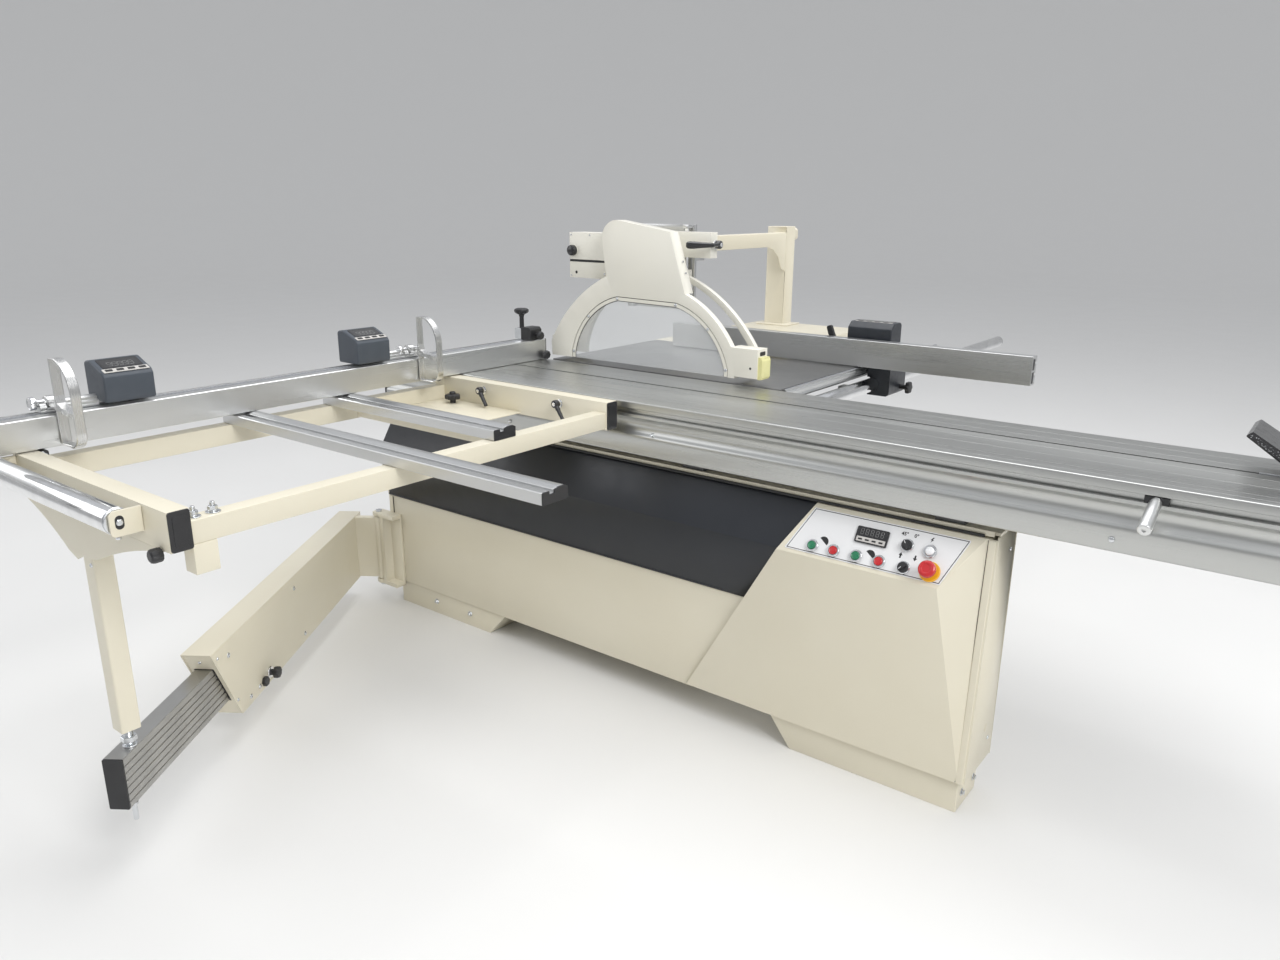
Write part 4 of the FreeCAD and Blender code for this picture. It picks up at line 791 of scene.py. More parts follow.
def outrigger():
    """Frame, leg, caps, bars, roller and their fasteners."""
    dress("outrigger_frame", CREAM, 2.0, 3)
    x1 = OUT_X[1]
    caps = Piece("rail_caps", "table", BLACK)
    for y in (OUT_Y[0], OUT_Y[1] - 42):
        caps.prism(rectangle((y + 0.6, y + 41.4), (796.6, 872.4), 5), "X", x1 + 0.1, x1 + 3.2)
        caps.prism(rectangle((y + 8, y + 34), (806, 863), 4), "X", x1 + 3.0, x1 + 4.0)
    for y, x in BARS:
        caps.prism(rounded(bar_outline(y), 1.2, 2), "X", x + 0.1, x + 3.8)
    caps.lathe([(10, 0), (13, 1), (14, 4), (14, 16), (12.5, 20), (9, 22), (0.01, 22)], (-505, -1630, 790),
               (0, -1, 0), 0, 36, 12, 1.0)
    caps.finish(0.8, 3, replaces="end_caps")
    bars = Piece("sheet_bars", "table", ALU_X)
    for y, x in BARS:
        bars.prism(bar_outline(y), "X", OUT_X[0] + 6, x)
    bars.finish(0.5, 2, replaces="support_bars")
    marks = Piece("bar_fasteners", "table", ZINC)
    for x in (-700, -560):
        marks.lathe([(5, 0), (5, 1.4), (3.4, 2.4), (0.01, 2.6)], (x, -806, 866), steps=20)
    marks.finish(0.2)
    roller()
    leg()
    bolts = Piece("rail_bolts", "table", ZINC, RUBBER_AND_SHADE)
    for at in ((-498, -1568, 845), (-498, -1530, 845)):
        bolts.ring(14, 5, 0, 2.2, at, steps=28, edge=0.4)
        bolts.ring(9, 4, 2.2, 5.0, at, steps=28, edge=0.4)
        bolts.hexagon(16, 5.0, 13.0, at)
        bolts.lathe([(4.5, 12), (4.5, 20), (3.5, 21), (0.01, 21)], at, steps=20)
    bolts.prism(rectangle((-1128, -1098), (858, 872), 3), "Y", OUT_Y[0] + 42.2, OUT_Y[0] + 58, 1)
    bolts.bolt((-1088, OUT_Y[0] + 42.1, 864), (0, 1, 0), 12)
    bolts.finish(0.3)
    knob = Piece("tray_knob", "table", BLACK)
    knob.lathe([(9, 0), (9, 10), (22, 12), (24, 15), (24, 23), (22, 26), (10, 27), (9, 33), (7, 35), (0.01, 35)],
               (-1054, -455, 804), (0, 0, 1), 0, 70, 7, 3.2)
    knob.finish(0.8, 3)


def bar_outline(y):
    """Section of a support bar: raised lips beside its T-groove."""
    return [(y + 1, 846), (y, 847), (y, 870), (y + 2, 872), (y + 18, 872), (y + 19, 871), (y + 19, 865),
            (y + 33, 865), (y + 33, 871), (y + 34, 872), (y + 42, TOP - 1), (y + 44, TOP), (y + 61, TOP),
            (y + 71, 870.5), (y + 71, 847), (y + 70, 846)]


def roller():
    """Chrome roller with recessed ends, and its zinc discs, nuts and slotted bracket faces."""
    y, z = -1669, 848
    made = Piece("roller_tube", "roller", CHROME, ZINC, BLACK)
    made.lathe([(6.1, -284), (6.1, -272), (22, -271), (23.5, -270), (25.2, -270), (26, -269), (26, 269),
                (25.2, 270), (23.5, 270), (22, 271), (6.1, 272), (6.1, 282)], (-842, y, z), (1, 0, 0), 0, 64)
    for way in (1, -1):
        made.ring(24.2, 6.2, 271.2, 274.8, (-842, y, z), (way, 0, 0), 1, 48, 0.8)
    made.finish(0.3, replaces="support_roller")
    slots = Piece("bracket_slots", "table", BLACK, ZINC, CREAM)
    for x, way in ((-562, 1), (-1122, -1)):
        face = rounded([(y - 17, z - 26), (y + 40, z - 26), (y + 40, z + 22), (y - 17, z + 22)], [9, 1, 1, 9], 5)
        slots.prism(face, "X", *sorted((x + 0.1 * way, x + 1.5 * way)), 2)
        # black slot outline: painted shade in the bracket's slot
        ring = arc((y, z + 5), 8, 0, 180, 8) + arc((y, z - 5), 8, 180, 360, 8)
        slots.prism(ring, "X", *sorted((x + 1.4 * way, x + 1.9 * way)))
        slots.lathe([(5.6, 0), (5.6, 1.4), (4.6, 2.2), (0.01, 2.2)], (x + 1.9 * way, y, z), (way, 0, 0), 1, 24)
        slots.hexagon(9, 0, 5, (x - 2 * way, y - 4, 821.6), (0, 0, -1), 1)
    slots.finish(0.2)


def leg():
    """Gusset plate, square leg and its screw foot."""
    y0 = OUT_Y[0]
    made = Piece("leg_and_gusset", "table", CREAM)
    gusset = [(-1160, 795.8), (-500, 795.8)] + through((-500, 794), (-640, 762), (-780, 712), 10)
    gusset += [(-800, 706), (-858, 700), (-884, 688), (-920, 700)]
    gusset += through((-940, 712), (-1040, 760), (-1160, 794), 8)
    made.prism(gusset, "Y", y0 + 0.1, y0 + 4.1)
    x = -834.5
    made.prism(rectangle((x - 22.5, x + 22.5), (y0 + 0.2, y0 + 41.8), 4), "Z", 306, 795.6)
    made.finish(1.0, 3, replaces="support_leg")
    foot = Piece("leg_screw_foot", "table", ZINC, RUBBER_AND_SHADE)
    y = y0 + 21
    threads = []
    for k in range(13):
        z = 269 + k * 2.8
        threads += [(9.2, z), (10, z + 1.4)]
    foot.lathe([(15, 263.6), (15, 267), (10, 268.5)] + threads + [(9.2, 306)], (x, y, 0), (0, 0, 1), 0, 32)
    foot.hexagon(29, 275, 287, (x, y, 0))
    foot.ring(17, 9.5, 303.5, 306.2, (x, y, 0), edge=0.5)
    foot.button_screw((x - 2, y0 + 42, 772), (0, 1, 0), 6)
    foot.button_screw((x + 14, y0, 690), (0, -1, 0), 5)
    foot.finish(0.25)


def clamp_levers():
    """Ratchet levers: black hub and handle, bright bushing and release button."""
    y = OUT_Y[1] - 42
    for name, x in (("clamp_1", -955), ("clamp_2", -646)):
        made = Piece(name + "_ratchet", name, BLACK, CHROME)
        made.lathe([(9.5, 0.6), (9.5, 9)], (x, y, 850), (0, -1, 0), 1, 32)
        made.ring(12.5, 8, 0.5, 2.4, (x, y, 850), (0, -1, 0), 1, 32, 0.4)
        made.lathe([(9, 8.6), (11, 9.4), (11.4, 12), (11.4, 22), (10.6, 24), (8.6, 24.6), (6, 24.6)],
                   (x, y, 850), (0, -1, 0), 0, 40, 10, 0.5)
        made.lathe([(5.6, 24.4), (5.6, 26), (4.4, 26.8), (0.01, 26.8)], (x, y, 850), (0, -1, 0), 1, 24)
        way = Vector((0.707, -0.22, -0.707))
        path = [Vector((x, y - 17, 850)) + way * t for t in (4, 20, 38, 50, 54)]
        for width, near, far in zip((7.6, 6.4, 5.8, 6.2), path, path[1:]):
            section = [(width * math.cos(a), width * 0.8 * math.sin(a)) for a in
                       (2 * math.pi * j / 14 for j in range(14))]
            made.sweep([near, far], section)
        made.finish(0.6, 2, replaces="clamp_lever_" + name[-1])


# Crosscut fence -----------------------------------------------------------

FENCE_X = (-1180.0, -1105.0)
FENCE_Y = (-1880.0, 18.0)
FENCE_Z = (876.0, 945.0)


def crosscut():
    """Fence extrusion with its rule, telescopic end and end plates."""
    x0, x1 = FENCE_X
    body = Piece("fence_extrusion", "fence", ALU_Y, BLACK)
    outer = [(x0 + 1.5, 876), (x1 - 1.5, 876), (x1, 877.5), (x1, 943), (x1 - 2, 945), (-1134, 945), (-1134, 944.2),
             (-1163, 944.2), (-1163, 945), (-1164, 945), (-1164, 941), (-1161, 941), (-1161, 934), (-1175, 934),
             (-1175, 941), (-1172, 941), (-1172, 945), (x0 + 1, 945), (x0, 944), (x0, 877.5)]
    body.prism(outer, "Y", *FENCE_Y)
    # black strip in the top slot's mouth: painted shade of the slot
    body.box((-1171.6, -1164.4), (FENCE_Y[0] + 1, FENCE_Y[1] - 1), (940.5, 942.6), 1)
    body.finish(0.5, 2, replaces="crosscut_fence")
    rule = Piece("fence_rule", "fence", RULE)
    rule.box((-1162.5, -1134.5), (FENCE_Y[0] + 4, FENCE_Y[1] - 4), (944.1, 944.9))
    rule.finish(0)
    end = Piece("fence_end_plate", "fence", BLACK, ALU_Y, ZINC)
    end.prism(rectangle((x0 - 0.4, x1 + 0.4), (875.8, 945.4), 3, 3), "Y", FENCE_Y[1], FENCE_Y[1] + 2.2)
    end.prism(rectangle((x0 + 3, x1 - 3), (879, 942), 2), "Y", FENCE_Y[1] + 2.1, FENCE_Y[1] + 3.8, 1)
    for x in (x0 + 12, x1 - 12):
        end.button_screw((x, FENCE_Y[1] + 3.6, 911), (0, 1, 0), 4, 2)
    end.finish(0.4)
    dress("fence_extension", ALU_Y, 1.0, 2, BLACK, lambda c: c.y < FENCE_Y[0] - 0.2)
    index = Piece("index_clamp", "fence", BLACK, ZINC)
    pad = [(x0 + 29, 945.4), (x0 + 74, 945.4), (x0 + 74, 980), (x0 + 66, 988), (x0 + 29, 988)]
    index.prism(rounded(pad, 3, 3), "Y", -54, 0)
    index.prism(rectangle((x0 - 8, x0 + 28), (945.4, 982), 2, 3), "Y", -46, -8, 1)
    index.lathe([(9, 981), (8, 984), (7.5, 1018), (10, 1026), (20, 1031), (24, 1035), (25, 1039), (24, 1044),
                 (18, 1047.5), (8, 1048.2), (0.01, 1048.2)], (x0 + 8, -27, 0), steps=64, lobes=8, depth=2.2)
    index.lathe([(6, 0), (6, 10), (12, 12), (14, 16), (14, 24), (11, 28), (0.01, 28)], (x0 + 74, -27, 962),
                (1, 0, 0), 0, 36, 10, 0.8)
    index.finish(0.8, 3, replaces="fence_index")
    knob = Piece("blade_end_knob", "fence", BLACK, ZINC)
    knob.lathe([(7, 0), (7, 6), (13, 8), (15, 12), (15, 20), (12, 24), (0.01, 24)], (x1 + 0.5, 4, 893),
               (1, 0, 0), 0, 48, 8, 1.4)
    knob.finish(0.6, 3)


def stop_slide(body, node, y, housing):
    """Readout housing with display and keys, clamp rail, pivot and bright knob."""
    x0 = FENCE_X[0]
    before = housing[0] > y
    low, high = sorted((y, housing[0] if before else housing[1]))
    rail = Piece(body + "_rail", body, ALU_Y, CHROME, ZINC)
    rail.prism(rectangle((x0 + 4, x0 + 40), (945.4, 951.8), 1.5), "Y", low - (26 if before else 0),
               high + (0 if before else 26))
    front_end, back_end = (y + 27, housing[0] + 4) if before else (housing[1] - 4, y - 27)
    rail.prism([(x0 + 12, 951.6), (x0 + 38, 951.6), (x0 + 38, 958), (x0 + 33, 960), (x0 + 33, 966), (x0 + 27, 970),
                (x0 + 18, 970), (x0 + 12, 964)], "Y", front_end, back_end)
    for ear in ((y - 26, y - 12.6), (y + 12.6, y + 26)):
        rail.prism(rounded([(x0 + 10, 951.6), (x0 + 42, 951.6), (x0 + 36, 966), (x0 + 14, 966)], 4, 4), "Y", *ear)
    rail.lathe([(6.9, -26), (6.9, 26)], (x0 + 26, y, 968), (0, 1, 0), 1, 32)
    knob = [(7, 25.8), (9, 26.2), (9, 30), (14.2, 31), (15, 32.5), (15, 41), (14, 43), (12.5, 43), (11.5, 41.6),
            (0.01, 41.6)]
    rail.lathe(knob, (x0 + 26, y, 968), (0, -1, 0), 1, 60, 24, 0.5)
    rail.finish(0.4, 2, replaces=node)
    case = Piece(body + "_readout", body, SLATE)
    side = rounded([(x0 - 12, 953), (x0 + 79, 953), (x0 + 80, 1012), (x0 + 72, 1023), (x0 + 16, 1046),
                    (x0 - 12, 1042)], [5, 6, 7, 9, 12, 10], 5)
    case.prism(side, "Y", *housing)
    case.finish(5.0, 5, 40)
    foot = Vector((x0 + 72, (housing[0] + housing[1]) / 2, 1023))
    slope = Vector((-56, 0, 23)).normalized()
    face = axes(foot, (0, 1, 0), slope, (slope.z, 0, -slope.x))
    half = (housing[1] - housing[0]) / 2
    front = Piece(body + "_display", body, GLOSS_BLACK, DISPLAY, KEYPAD, SEGMENT, PRINT, place=face)
    front.prism(rectangle((-half * 0.80, half * 0.80), (14, 56), 4), "Z", -0.4, 0.9)
    front.prism(rectangle((-half * 0.70, half * 0.70), (18, 50), 2), "Z", 0.8, 1.1, 1)
    for k in range(5):
        u = -half * 0.5 + k * half * 0.21
        for seg in (((u, u + 9), (38, 39.4)), ((u, u + 9), (30, 31.2)), ((u, u + 9), (22, 23.4)),
                    ((u - 0.8, u + 0.6), (31.4, 37.8)), ((u + 8.6, u + 10), (31.4, 37.8)),
                    ((u + 8.6, u + 10), (23.6, 29.8))):
            front.box(*seg, (1.0, 1.25), 3)
    front.prism(rectangle((-half * 0.90, half * 0.90), (-4, 12), 2), "Z", -0.2, 0.8, 2)
    for k in range(4):
        u = -half * 0.66 + k * half * 0.44
        front.prism(rectangle((u - half * 0.14, u + half * 0.14), (0.2, 8.4), 1.5), "Z", 0.7, 1.7, 4)
    front.finish(0.3, 2)


def flip_arm(body, node, y):
    """Cast D-shaped flip stop with its crossbar and pivot eye."""
    front = FENCE_X[1] + 2
    made = Piece(body + "_casting", body, CASTING, ZINC)
    a, b = front + 2.6, front + 85.4
    loop = [(a, 881.5), (a, 1069.5)] + through((a + 28, 1069.5), (b - 15, 1042), (b, 986), 14)
    loop += [(b, 921)] + through((b, 918), (b - 9, 890), (b - 40, 881.5), 9)
    width, thick = 10.6, 2.6
    section = [(width * c, thick * s) for c, s in
               ((1, -0.45), (1, 0.45), (0.88, 1), (-0.88, 1), (-1, 0.45), (-1, -0.45), (-0.88, -1), (0.88, -1))]
    made.sweep([(x, y, z) for x, z in loop], section, closed=True)
    eye = FENCE_X[0] + 26
    web = [(eye + 6, 962), (a, 956), (a + 20, 953), (b - 1, 946), (b - 1, 957), (a + 24, 964), (a + 8, 972),
           (a + 2, 990), (a - 3, 990), (a - 6, 974), (eye + 6, 975)]
    made.prism(web, "Y", y - 9.5, y + 9.5)
    made.prism([(a, 945), (a + 2.5, 945), (a + 18, 954), (a, 956.5)], "Y", y - 3, y + 3)
    made.ring(13.6, 7.2, -10.8, 10.8, (eye, y, 968), (0, 1, 0), 0, 40, 1.4)
    made.finish(1.0, 3, replaces=node)


# Swing arm ----------------------------------------------------------------

PIVOT = Vector((-1550.0, -392.0, 0.0))
FOOT = Vector((-832.0, -1621.0, 0.0))
ARM_OFFSET = 122.5
ARM_Z = (85.0, 318.0)
ARM_END = (965.0, 1092.0)  # length of the arm at its lower and upper edges
BEAM_Z = (143.0, 263.0)


def arm_place():
    """The arm's own directions: local X along it, local Y its inner side, and its reach to the foot."""
    span = FOOT - PIVOT
    turn = math.asin(ARM_OFFSET / span.length)
    way = Vector((span.x, span.y, 0)).normalized()
    way.rotate(Matrix.Rotation(turn, 3, "Z"))
    inner = Vector((-way.y, way.x, 0))
    return axes(PIVOT - inner * ARM_OFFSET, way, inner, (0, 0, 1)), span.length * math.cos(turn)


def swing_arm():
    """Arm with its cap screws, lock knob and folded lips; ribbed beam with its black cap."""
    place, reach = arm_place()
    dress("swing_arm", CREAM, 2.0, 3)
    bits = Piece("arm_screws", "arm", ZINC, BLACK, CHROME, place=place)
    for s, z in ((1006, 276), (577, 280), (529, 110), (859, 107), (914, 107)):
        bits.button_screw((s, 38, z), (0, 1, 0), 7)
    for s, z in ((1062, 294), (986, 137)):
        bits.button_screw((s, 38, z), (0, 1, 0), 4.5)
    bits.lathe([(17, 0), (17, 3), (15.5, 5), (9, 5.6)], (791, 38, 115), (0, 1, 0), 2, 40)
    bits.lathe([(9, 5), (9, 12), (15, 14), (17, 17), (17, 26), (15, 29), (8, 30), (0.01, 30)], (791, 38, 115),
               (0, 1, 0), 1, 60, 8, 1.6)
    bits.lathe([(13, 0), (14, 2), (14, 9), (12, 12), (0.01, 12)], (832, 38, 108), (0, 1, 0), 1, 40, 6, 1.4)
    bits.finish(0.3)
    lips = Piece("arm_end_lips", "arm", CREAM, place=place)
    low, high = ARM_END
    bottom, top = ARM_Z[0] + 3, ARM_Z[1] - 3
    for side in (-1, 1):
        lips.prism([(low - 2, bottom), (low + 6, bottom), (high, top), (high - 8, top)], "Y",
                   *sorted((38.2 * side, 36.0 * side)))
    lips.finish(0.5)
    arm_end(place)
    beam(place, reach)


def arm_end(place):
    """Slanted plate that closes the arm's outer end, with a dark seal round the beam's opening."""
    rise = Vector((ARM_END[1] - ARM_END[0], 0, ARM_Z[1] - ARM_Z[0])).normalized()
    face = place @ axes((ARM_END[0] - 4, 0, ARM_Z[0]), (0, 1, 0), rise, Vector((0, 1, 0)).cross(rise))
    low, high, top = ((z - ARM_Z[0]) / rise.z for z in (BEAM_Z[0] - 3, BEAM_Z[1] + 3, ARM_Z[1]))
    opening = rectangle((-24.5, 24.5), (low, high), 2)
    pierced_plate("arm_end_plate", "arm", (rectangle((-35.2, 35.2), (4, top - 3.5), 2), opening), 3.0, face, CREAM)
    seal = Piece("arm_end_seal", "arm", BLACK, ZINC, place=face)
    for side in (-1, 1):
        seal.box(sorted((24.9 * side, 22.4 * side)), (opening[0][1] - 0.2, high), (-1.0, 4.2))
    seal.box((-24.9, 24.9), (high - 2.6, high - 0.2), (-1.0, 4.2))
    seal.button_screw((0, (high + top) / 2, 3.0), (0, 0, 1), 4.5, 1)
    seal.finish(0.4)


def beam(place, reach):
    """Telescopic beam with ribbed sides."""
    end = reach + 42
    low, high = BEAM_Z
    half, ribs = 22.0, 7
    side = []
    pitch = (high - low) / ribs
    for k in range(ribs):
        z = low + k * pitch
        side += [(half, z + 1.0), (half, z + pitch - 3.4), (half - 2.2, z + pitch - 2.6), (half - 2.2, z + pitch)]
    side = side[:-2] + [(half, high - 1), (half - 1, high)]
    outline = side + [(-y, z) for y, z in reversed(side)]
    outline[0] = (half, low + 1)
    made = Piece("beam_extrusion", "beam", ALU_ARM, place=place)
    made.prism([(y, z) for y, z in outline], "X", end - 1000, end)
    made.finish(0.35, 2, 25, replaces="arm_beam")
    cap = Piece("beam_cap", "beam", BLACK, ZINC, place=place)
    cap.prism(rectangle((-half - 0.2, half + 0.2), (low - 0.2, high + 0.2), 3), "X", end, end + 5.8)
    cap.lathe([(4, low - 44), (5.5, low - 42), (5.5, low - 8), (9, low - 6), (9, low)], (end - 24, 14, 0), mat=1,
              steps=24)
    cap.finish(1.2, 3)


# Rip side -----------------------------------------------------------------

BAR_AT = (-155.0, 815.0)
RIP_Y = 539.0


def rip_side():
    """Scale rail, round bar, fence carriage with readout, fence profile, lever and knob."""
    dress("rip_scale_rail", ALU_Y, 0.6)
    bar = Piece("round_bar", "base", CHROME, BLACK)
    bar.lathe([(20.5, 60), (22.5, 61.5), (22.5, 1894)], (BAR_AT[0], 0, BAR_AT[1]), (0, 1, 0), 0, 64)
    plug = [(22.4, 1894.1), (22.4, 1897), (20, 1899.6), (0.01, 1899.6)]
    bar.lathe(plug, (BAR_AT[0], 0, BAR_AT[1]), (0, 1, 0), 1, 48)
    bar.finish(0.3, replaces="rip_bar")
    rule = Piece("rip_rule", "base", RULE)
    rule.box((-194, -187), (66, 1244), (871.9, 872.5))
    rule.finish(0)
    carriage()
    profile = Piece("rip_fence_profile", "rip", ALU_X, BLACK)
    y = RIP_Y
    outline = [(y + 1, 878.6), (y + 39, 878.6), (y + 40, 879.6)]
    for z in (906, 940):
        outline += [(y + 40, z), (y + 33, z), (y + 33, z - 4), (y + 28, z - 4), (y + 28, z + 12), (y + 33, z + 12),
                    (y + 33, z + 8), (y + 40, z + 8)]
    outline += [(y + 40, 965), (y + 39, 966), (y + 1, 966), (y, 965), (y, 879.6)]
    profile.prism(outline, "X", -940, 366)
    for z in (884, 924):
        for x in (366, -940):
            profile.prism(rectangle((y + 5, y + 23), (z, z + 34), 3), "X", x - 0.4, x + 0.4, 1)
    profile.finish(0.5, 2, replaces="rip_fence")


def carriage():
    """Dark casting on the round bar with its digital readout, cam lever and star knob."""
    y = RIP_Y
    made = Piece("carriage_casting", "carriage", DARK_SLATE, ZINC, CREAM)
    cx, cz = BAR_AT
    yoke = [(-100, 782), (-96, 788), (-96, 876), (-100, 880), (-172, 880), (-176, 876), (-176, 838)]
    yoke += [(-168, 838)] + arc((cx, cz), 22.8, 118, -118, 20)
    yoke += [(-168, 792), (-176, 792), (-172, 778), (-106, 778)]
    made.prism(yoke, "Y", y + 58, y + 190)
    made.prism(rounded([(-330, 882), (-324, 879.4), (-66, 879.4), (-60, 886), (-60, 952), (-68, 960), (-318, 960),
                        (-330, 948)], 3, 3), "Y", y + 44, y + 64)
    made.prism(rounded([(-200, 879.4), (-100, 879.4), (-104, 940), (-196, 940)], 4, 3), "Y", y + 60, y + 150)
    made.prism(rectangle((-180, -120), (890, 940), 3), "Y", y + 40.4, y + 46)
    for x, z in ((-312, 894), (-78, 894), (-78, 946), (-230, 946)):
        made.button_screw((x, y + 64, z), (0, 1, 0), 5, 1)
    made.finish(2.0, 3, 35, replaces="rip_carriage")
    case = Piece("rip_readout", "carriage", DARK_SLATE)
    side = rounded([(y + 66, 941), (y + 150, 941), (y + 150, 1008), (y + 142, 1016), (y + 88, 1016),
                    (y + 66, 998)], [4, 4, 6, 6, 8, 8], 4)
    case.prism(side, "X", -262, -106)
    case.finish(4.0, 4, 40)
    top = axes(Vector((-184, y + 115, 1016)), (1, 0, 0), (0, 1, 0), (0, 0, 1))
    front = Piece("rip_display", "carriage", GLOSS_BLACK, DISPLAY, KEYPAD, PRINT, place=top)
    front.prism(rectangle((-62, 62), (-6, 26), 3), "Z", -0.3, 0.8)
    front.prism(rectangle((-54, 54), (-1, 21), 2), "Z", 0.7, 1.0, 1)
    front.prism(rectangle((-66, 66), (-22, -9), 2), "Z", -0.3, 0.7, 2)
    for k in range(4):
        front.prism(rectangle((-56 + k * 30, -38 + k * 30), (-19, -12), 1.5), "Z", 0.6, 1.5, 3)
    front.finish(0.3)
    cam = Piece("cam_lever", "rip_cam", BLACK, ZINC)
    hub = (-306, y + 64.6, 925)
    cam.lathe([(12, 0), (12, 27), (10.5, 29.4), (0.01, 29.4)], hub, (0, 1, 0), 0, 36)
    cam.lathe([(5, 29.2), (5, 30.4), (0.01, 30.4)], hub, (0, 1, 0), 1, 20)
    cam.prism(rounded([(-316, 927), (-297, 923), (-320, 972), (-330, 997), (-347, 991), (-338, 965)], 6, 5), "Y",
              y + 77, y + 90)
    cam.finish(1.5, 3, replaces="rip_lever")
    knob = Piece("carriage_star_knob", "rip_knob", BLACK, ZINC)
    knob.lathe([(8, 0), (8, 20), (11, 22), (20, 23.5), (21, 26), (21, 34), (19, 37), (10, 37.8), (0.01, 37.8)],
               (-95.7, y + 150, 800), (1, 0, 0), 0, 60, 6, 3.0)
    knob.finish(0.6, 3, replaces="rip_lock_knob")


# Overhead guard -----------------------------------------------------------

GUARD_NEAR = 25.0          # the hood's near face in Y


def window_line():
    """The window opening's edge in X and Z, from its left foot over the top to its right foot."""
    left = through((-990, 915), (-940, 1018), (-795, 1107), 16)
    right = through((-563, 1102), (-430, 1027), (-368, 915), 16)
    return [(-990, 894)] + left + right + [(-368, 894)]


def strip(piece, line, inner, outer, y, mat=0):
    """Flat strip between two offsets of a line, standing in Y."""
    a, b = offset(line, inner), offset(line, outer)
    piece.prism(a + b[::-1], "Y", *y, mat)


def guard():
    """Hood with its window strips and screws, blocks, knobs and height lever."""
    y0 = GUARD_NEAR
    dress("guard_hood", WHITE, 1.6, 4, PALE_YELLOW, lambda c: c.x > -266.8)
    dress("guard_window", WINDOW, 0.3)
    line = window_line()
    trim = Piece("window_strips", "hood", WHITE, RUBBER_AND_SHADE)
    strip(trim, line, -13.0, -2.4, (y0 + 0.6, y0 + 4.0))
    strip(trim, line, -2.3, -0.2, (y0 + 3.2, y0 + 4.0), 1)
    strip(trim, line, -15.0, -13.1, (y0 + 3.2, y0 + 4.0), 1)
    trim.finish(0.5, 2, 40)
    screws = Piece("window_screws", "hood", ZINC, RUBBER_AND_SHADE)
    spots = offset(line, -7.6)
    dome = [(5.0, 0), (5.0, 0.9), (4.0, 2.0), (2.2, 2.6), (0.01, 2.6)]
    for x, z in (spots[k] for k in (1, 9, 17, 18, 26, 34)):
        screws.lathe(dome, (x, y0 + 0.6, z), (0, -1, 0), 0, 20)
    screws.lathe([(3.6, 0), (3.6, 0.4), (0.01, 0.4)], (-290, y0, 928), (0, -1, 0), 1, 20)
    screws.lathe([(4.8, 0), (4.8, 0.5), (0.01, 0.5)], (-1008, 73.8, 1171), (0, -1, 0), 1, 24)
    for x, z in ((-1030, 1292), (-948, 1292), (-886, 1170), (-1030, 1160)):
        screws.lathe([(3.2, 0), (3.2, 0.6), (0.01, 0.6)], (x, 73.8, z), (0, -1, 0), 0, 16)
    for x, z in ((-545, 1190), (-556, 1224)):
        screws.lathe([(3.6, 0), (3.4, 1.4), (0.01, 1.8)], (x, 50, z), (0.95, 0, 0.31), 0, 16)
    screws.finish(0.15)
    knob = Piece("slide_knob", "hood", GLOSS_BLACK)
    knob.lathe([(10, 0), (15.5, 1.5), (17.5, 4), (18, 12), (16.5, 18), (12, 21), (5, 22), (0.01, 22)],
               (-1018, 74.2, 1242), (0, -1, 0), 0, 44)
    knob.finish(0.4)
    # dark strip: painted shade inside the knob's slot
    slot_shade = Piece("slide_slot_shade", "hood", RUBBER_AND_SHADE)
    slot_shade.box((-1036, -880), (73.6, 74.4), (1205.5, 1212.5))
    slot_shade.finish(0)
    bumper = Piece("nose_bumper", "hood", PALE_YELLOW, RUBBER_AND_SHADE)
    outline = rounded([(-268, 958), (-268, 896.5), (-257, 896.5), (-253, 902), (-253, 952), (-257, 962)],
                      [2, 2, 6, 4, 5, 4], 4)
    bumper.prism(outline, "Y", y0 + 5, 78)
    bumper.prism(rectangle((y0 + 14, 70), (965, 977), 4), "X", -267.1, -266.4, 1)
    bumper.finish(3.0, 4, 40)
    height_lever()
    boss = Piece("post_boss", "base", CREAM, ZINC)
    boss.prism(rounded([(-1000, 1238), (-944, 1238), (-944, 1292), (-1000, 1292)], 16, 6), "Y", 1446.2, 1484)
    boss.lathe([(12, 0), (12, 5), (9, 8), (0.01, 8)], (-972, 1484, 1265), (0, 1, 0), 1, 28)
    boss.finish(4.0, 4)


def height_lever():
    """Cranked lever on its bracket: hub with bright faces, arm and tapered grip."""
    made = Piece("height_lever", "hood_lever", GLOSS_BLACK, CHROME)
    hub = (-517.4, 166, 1272)
    made.lathe([(13, 0), (13, 3), (11, 4.5)], hub, (1, 0, 0), 1, 36)
    made.lathe([(10.5, 4), (12.6, 6), (12.6, 20), (11.4, 22.4), (8, 23.6)], hub, (1, 0, 0), 0, 40, 12, 0.6)
    made.lathe([(6.5, 23.4), (6.5, 25), (5, 26), (0.01, 26)], hub, (1, 0, 0), 1, 24)
    made.lathe([(6.6, 0), (6.6, 40), (7.2, 46), (0.01, 46)], (-500, 166, 1272), (0, -1, 0), 0, 28)
    made.lathe([(6.0, -6), (7.4, 8), (8.8, 30), (11.2, 56), (11.8, 66), (10.4, 75), (6, 80), (0.01, 80.6)],
               (-500, 124, 1272), (-66, -40, 0), 0, 32)
    made.finish(0.4, 2, replaces="guard_lever")


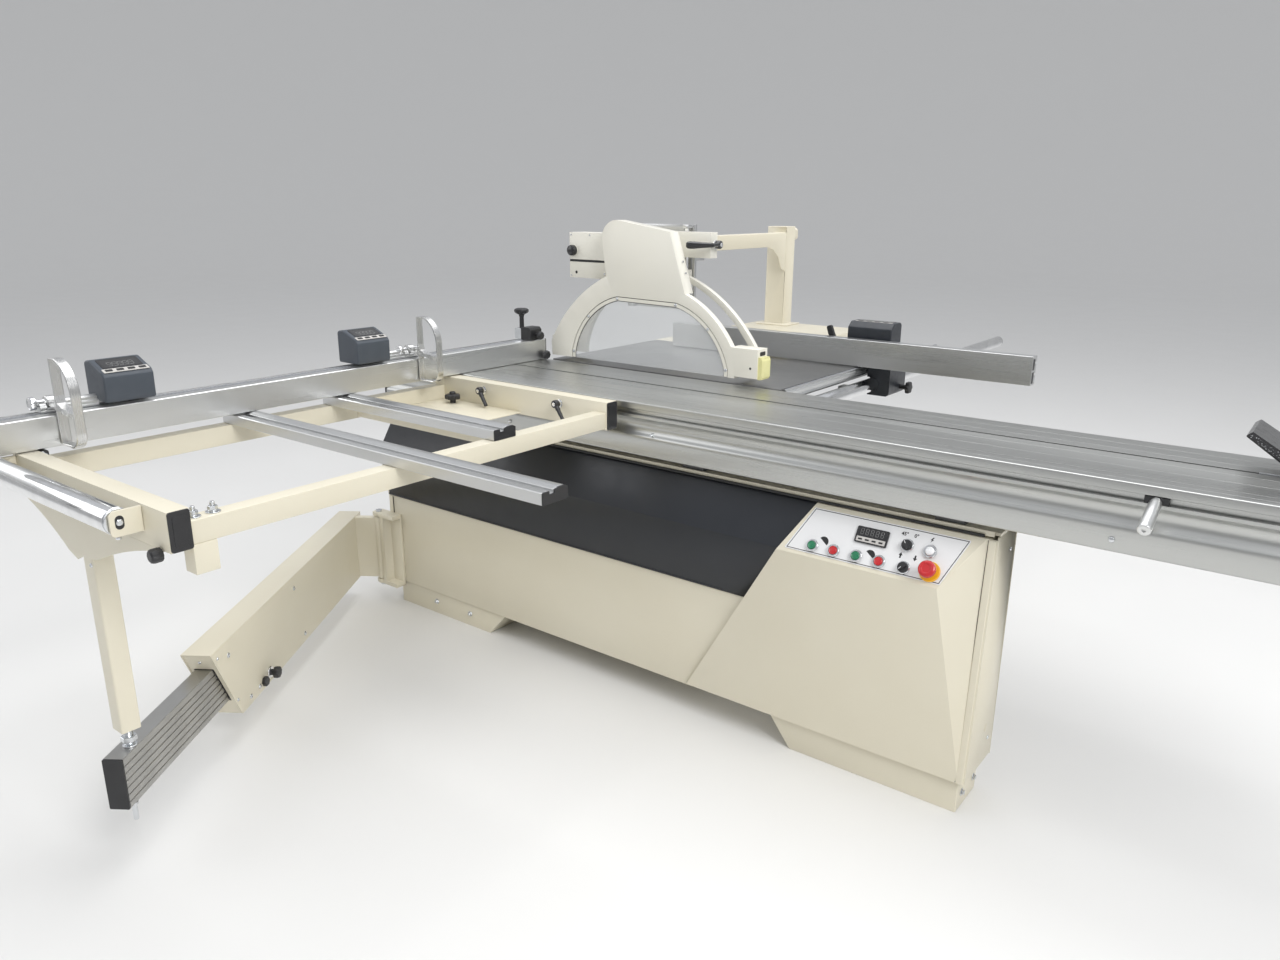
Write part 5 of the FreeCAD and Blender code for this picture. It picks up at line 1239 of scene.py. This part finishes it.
def saw_unit():
    """Saw unit below the table, in its own metals and paint."""
    dress("tilt_frame", RAW_IRON, 1.2)
    dress("arbor_housing", RAW_IRON, 1.2)
    dress("main_arbor", STEEL, 0.5)
    dress("main_blade", BLADE, 0.0)
    dress("riving_knife", BLADE, 0.3)
    dress("scoring_unit", STEEL, 0.3)
    dress("drive_belt", RUBBER_AND_SHADE, 0.4)
    dress("motor_shaft", STEEL, 0.5)
    motor = Piece("finned_motor", "rise", MOTOR_PAINT, BLACK)
    x, z = -717, 545
    motor.ring(88, 12.6, 152, 164, (x, 0, z), (0, 1, 0), 0, 64, 2)
    motor.lathe([(78, 163), (78, 226)], (x, 0, z), (0, 1, 0), 0, 64)
    for k in range(36):
        turn = Matrix.Translation((x, 0, z)) @ Matrix.Rotation(2 * math.pi * k / 36, 4, "Y")
        motor.box((77, 90), (165, 224), (-1.4, 1.4), 0, turn)
    cowl = [(80, 224), (88, 226), (90, 230), (90, 246), (84, 251.6), (0.01, 251.6)]
    motor.lathe(cowl, (x, 0, z), (0, 1, 0), 1, 64)
    motor.finish(0.8, 2, replaces="drive_motor")


# Studio -------------------------------------------------------------------

def studio():
    """Pale floor that curves up far behind, soft lights and the photographer's camera."""
    scene = bpy.context.scene
    world = bpy.data.worlds.new("studio")
    world.use_nodes = True
    sky = world.node_tree.nodes["Background"]
    sky.inputs["Color"].default_value = (0.94, 0.96, 1.0, 1)
    sky.inputs["Strength"].default_value = 0.66
    scene.world = world
    reach, rise, steps = 15, 12, 96
    profile = [(0.001, 0), (4, 0), (9, 0)] + arc((reach, rise), rise, -90, 0, 14)
    bowl = bmesh.new()
    rows = [[bowl.verts.new((r * math.cos(2 * math.pi * k / steps), r * math.sin(2 * math.pi * k / steps), z))
             for k in range(steps)] for r, z in profile]
    for low, high in zip(rows, rows[1:]):
        for k in range(steps):
            j = (k + 1) % steps
            bowl.faces.new((low[k], high[k], high[j], low[j])).smooth = True
    ground = bpy.data.meshes.new("floor")
    bowl.to_mesh(ground)
    bowl.free()
    f = Finish("studio_floor", (0.76, 0.755, 0.74))
    f.into("Roughness", f.spread(f.noise(3), 0.5, 0.65))
    ground.materials.append(f.material)
    floor = bpy.data.objects.new("floor", ground)
    scene.collection.objects.link(floor)
    for name, place, target, size, power in (
            ("key", (4.4, -2.2, 4.4), (0.0, -0.2, 0.5), 2.6, 210),
            ("fill", (-4.6, -3.6, 3.0), (-0.4, 0, 0.6), 3.5, 50),
            ("top", (-0.3, 0.6, 5.2), (-0.3, 0.0, 0.8), 4.0, 150)):
        light = bpy.data.lights.new(name, "AREA")
        light.size, light.energy = size, power
        lamp = bpy.data.objects.new(name, light)
        lamp.location = place
        lamp.rotation_euler = (Vector(target) - Vector(place)).to_track_quat("-Z", "Y").to_euler()
        scene.collection.objects.link(lamp)
    scene.view_settings.view_transform = "Standard"
    lens_data = bpy.data.cameras.new("camera")
    lens_data.sensor_width = 36.0
    lens_data.lens = 26.61
    camera = bpy.data.objects.new("camera", lens_data)
    yaw, pitch, roll = (math.radians(a) for a in (37.54, 16.42, 0.296))
    turn = Matrix.Rotation(yaw, 3, "Z") @ Matrix.Rotation(math.pi / 2 - pitch, 3, "X")
    turn = turn @ Matrix.Rotation(roll, 3, "Z")
    camera.matrix_world = Matrix.Translation((1.140, -2.366, 1.400)) @ turn.to_4x4()
    scene.collection.objects.link(camera)
    scene.camera = camera


cabinet()
cover_trim()
right_flange()
service_panels()
control_face()
push_buttons()
sliding_table()
shoe()
outrigger()
clamp_levers()
crosscut()
stop_slide("stop_1", "stop_slide_1", -1530, (-1434, -1320))
stop_slide("stop_2", "stop_slide_2", -529, (-752, -640))
flip_arm("flip_1", "flip_arm_1", -1530)
flip_arm("flip_2", "flip_arm_2", -529)
swing_arm()
rip_side()
guard()
saw_unit()
studio()
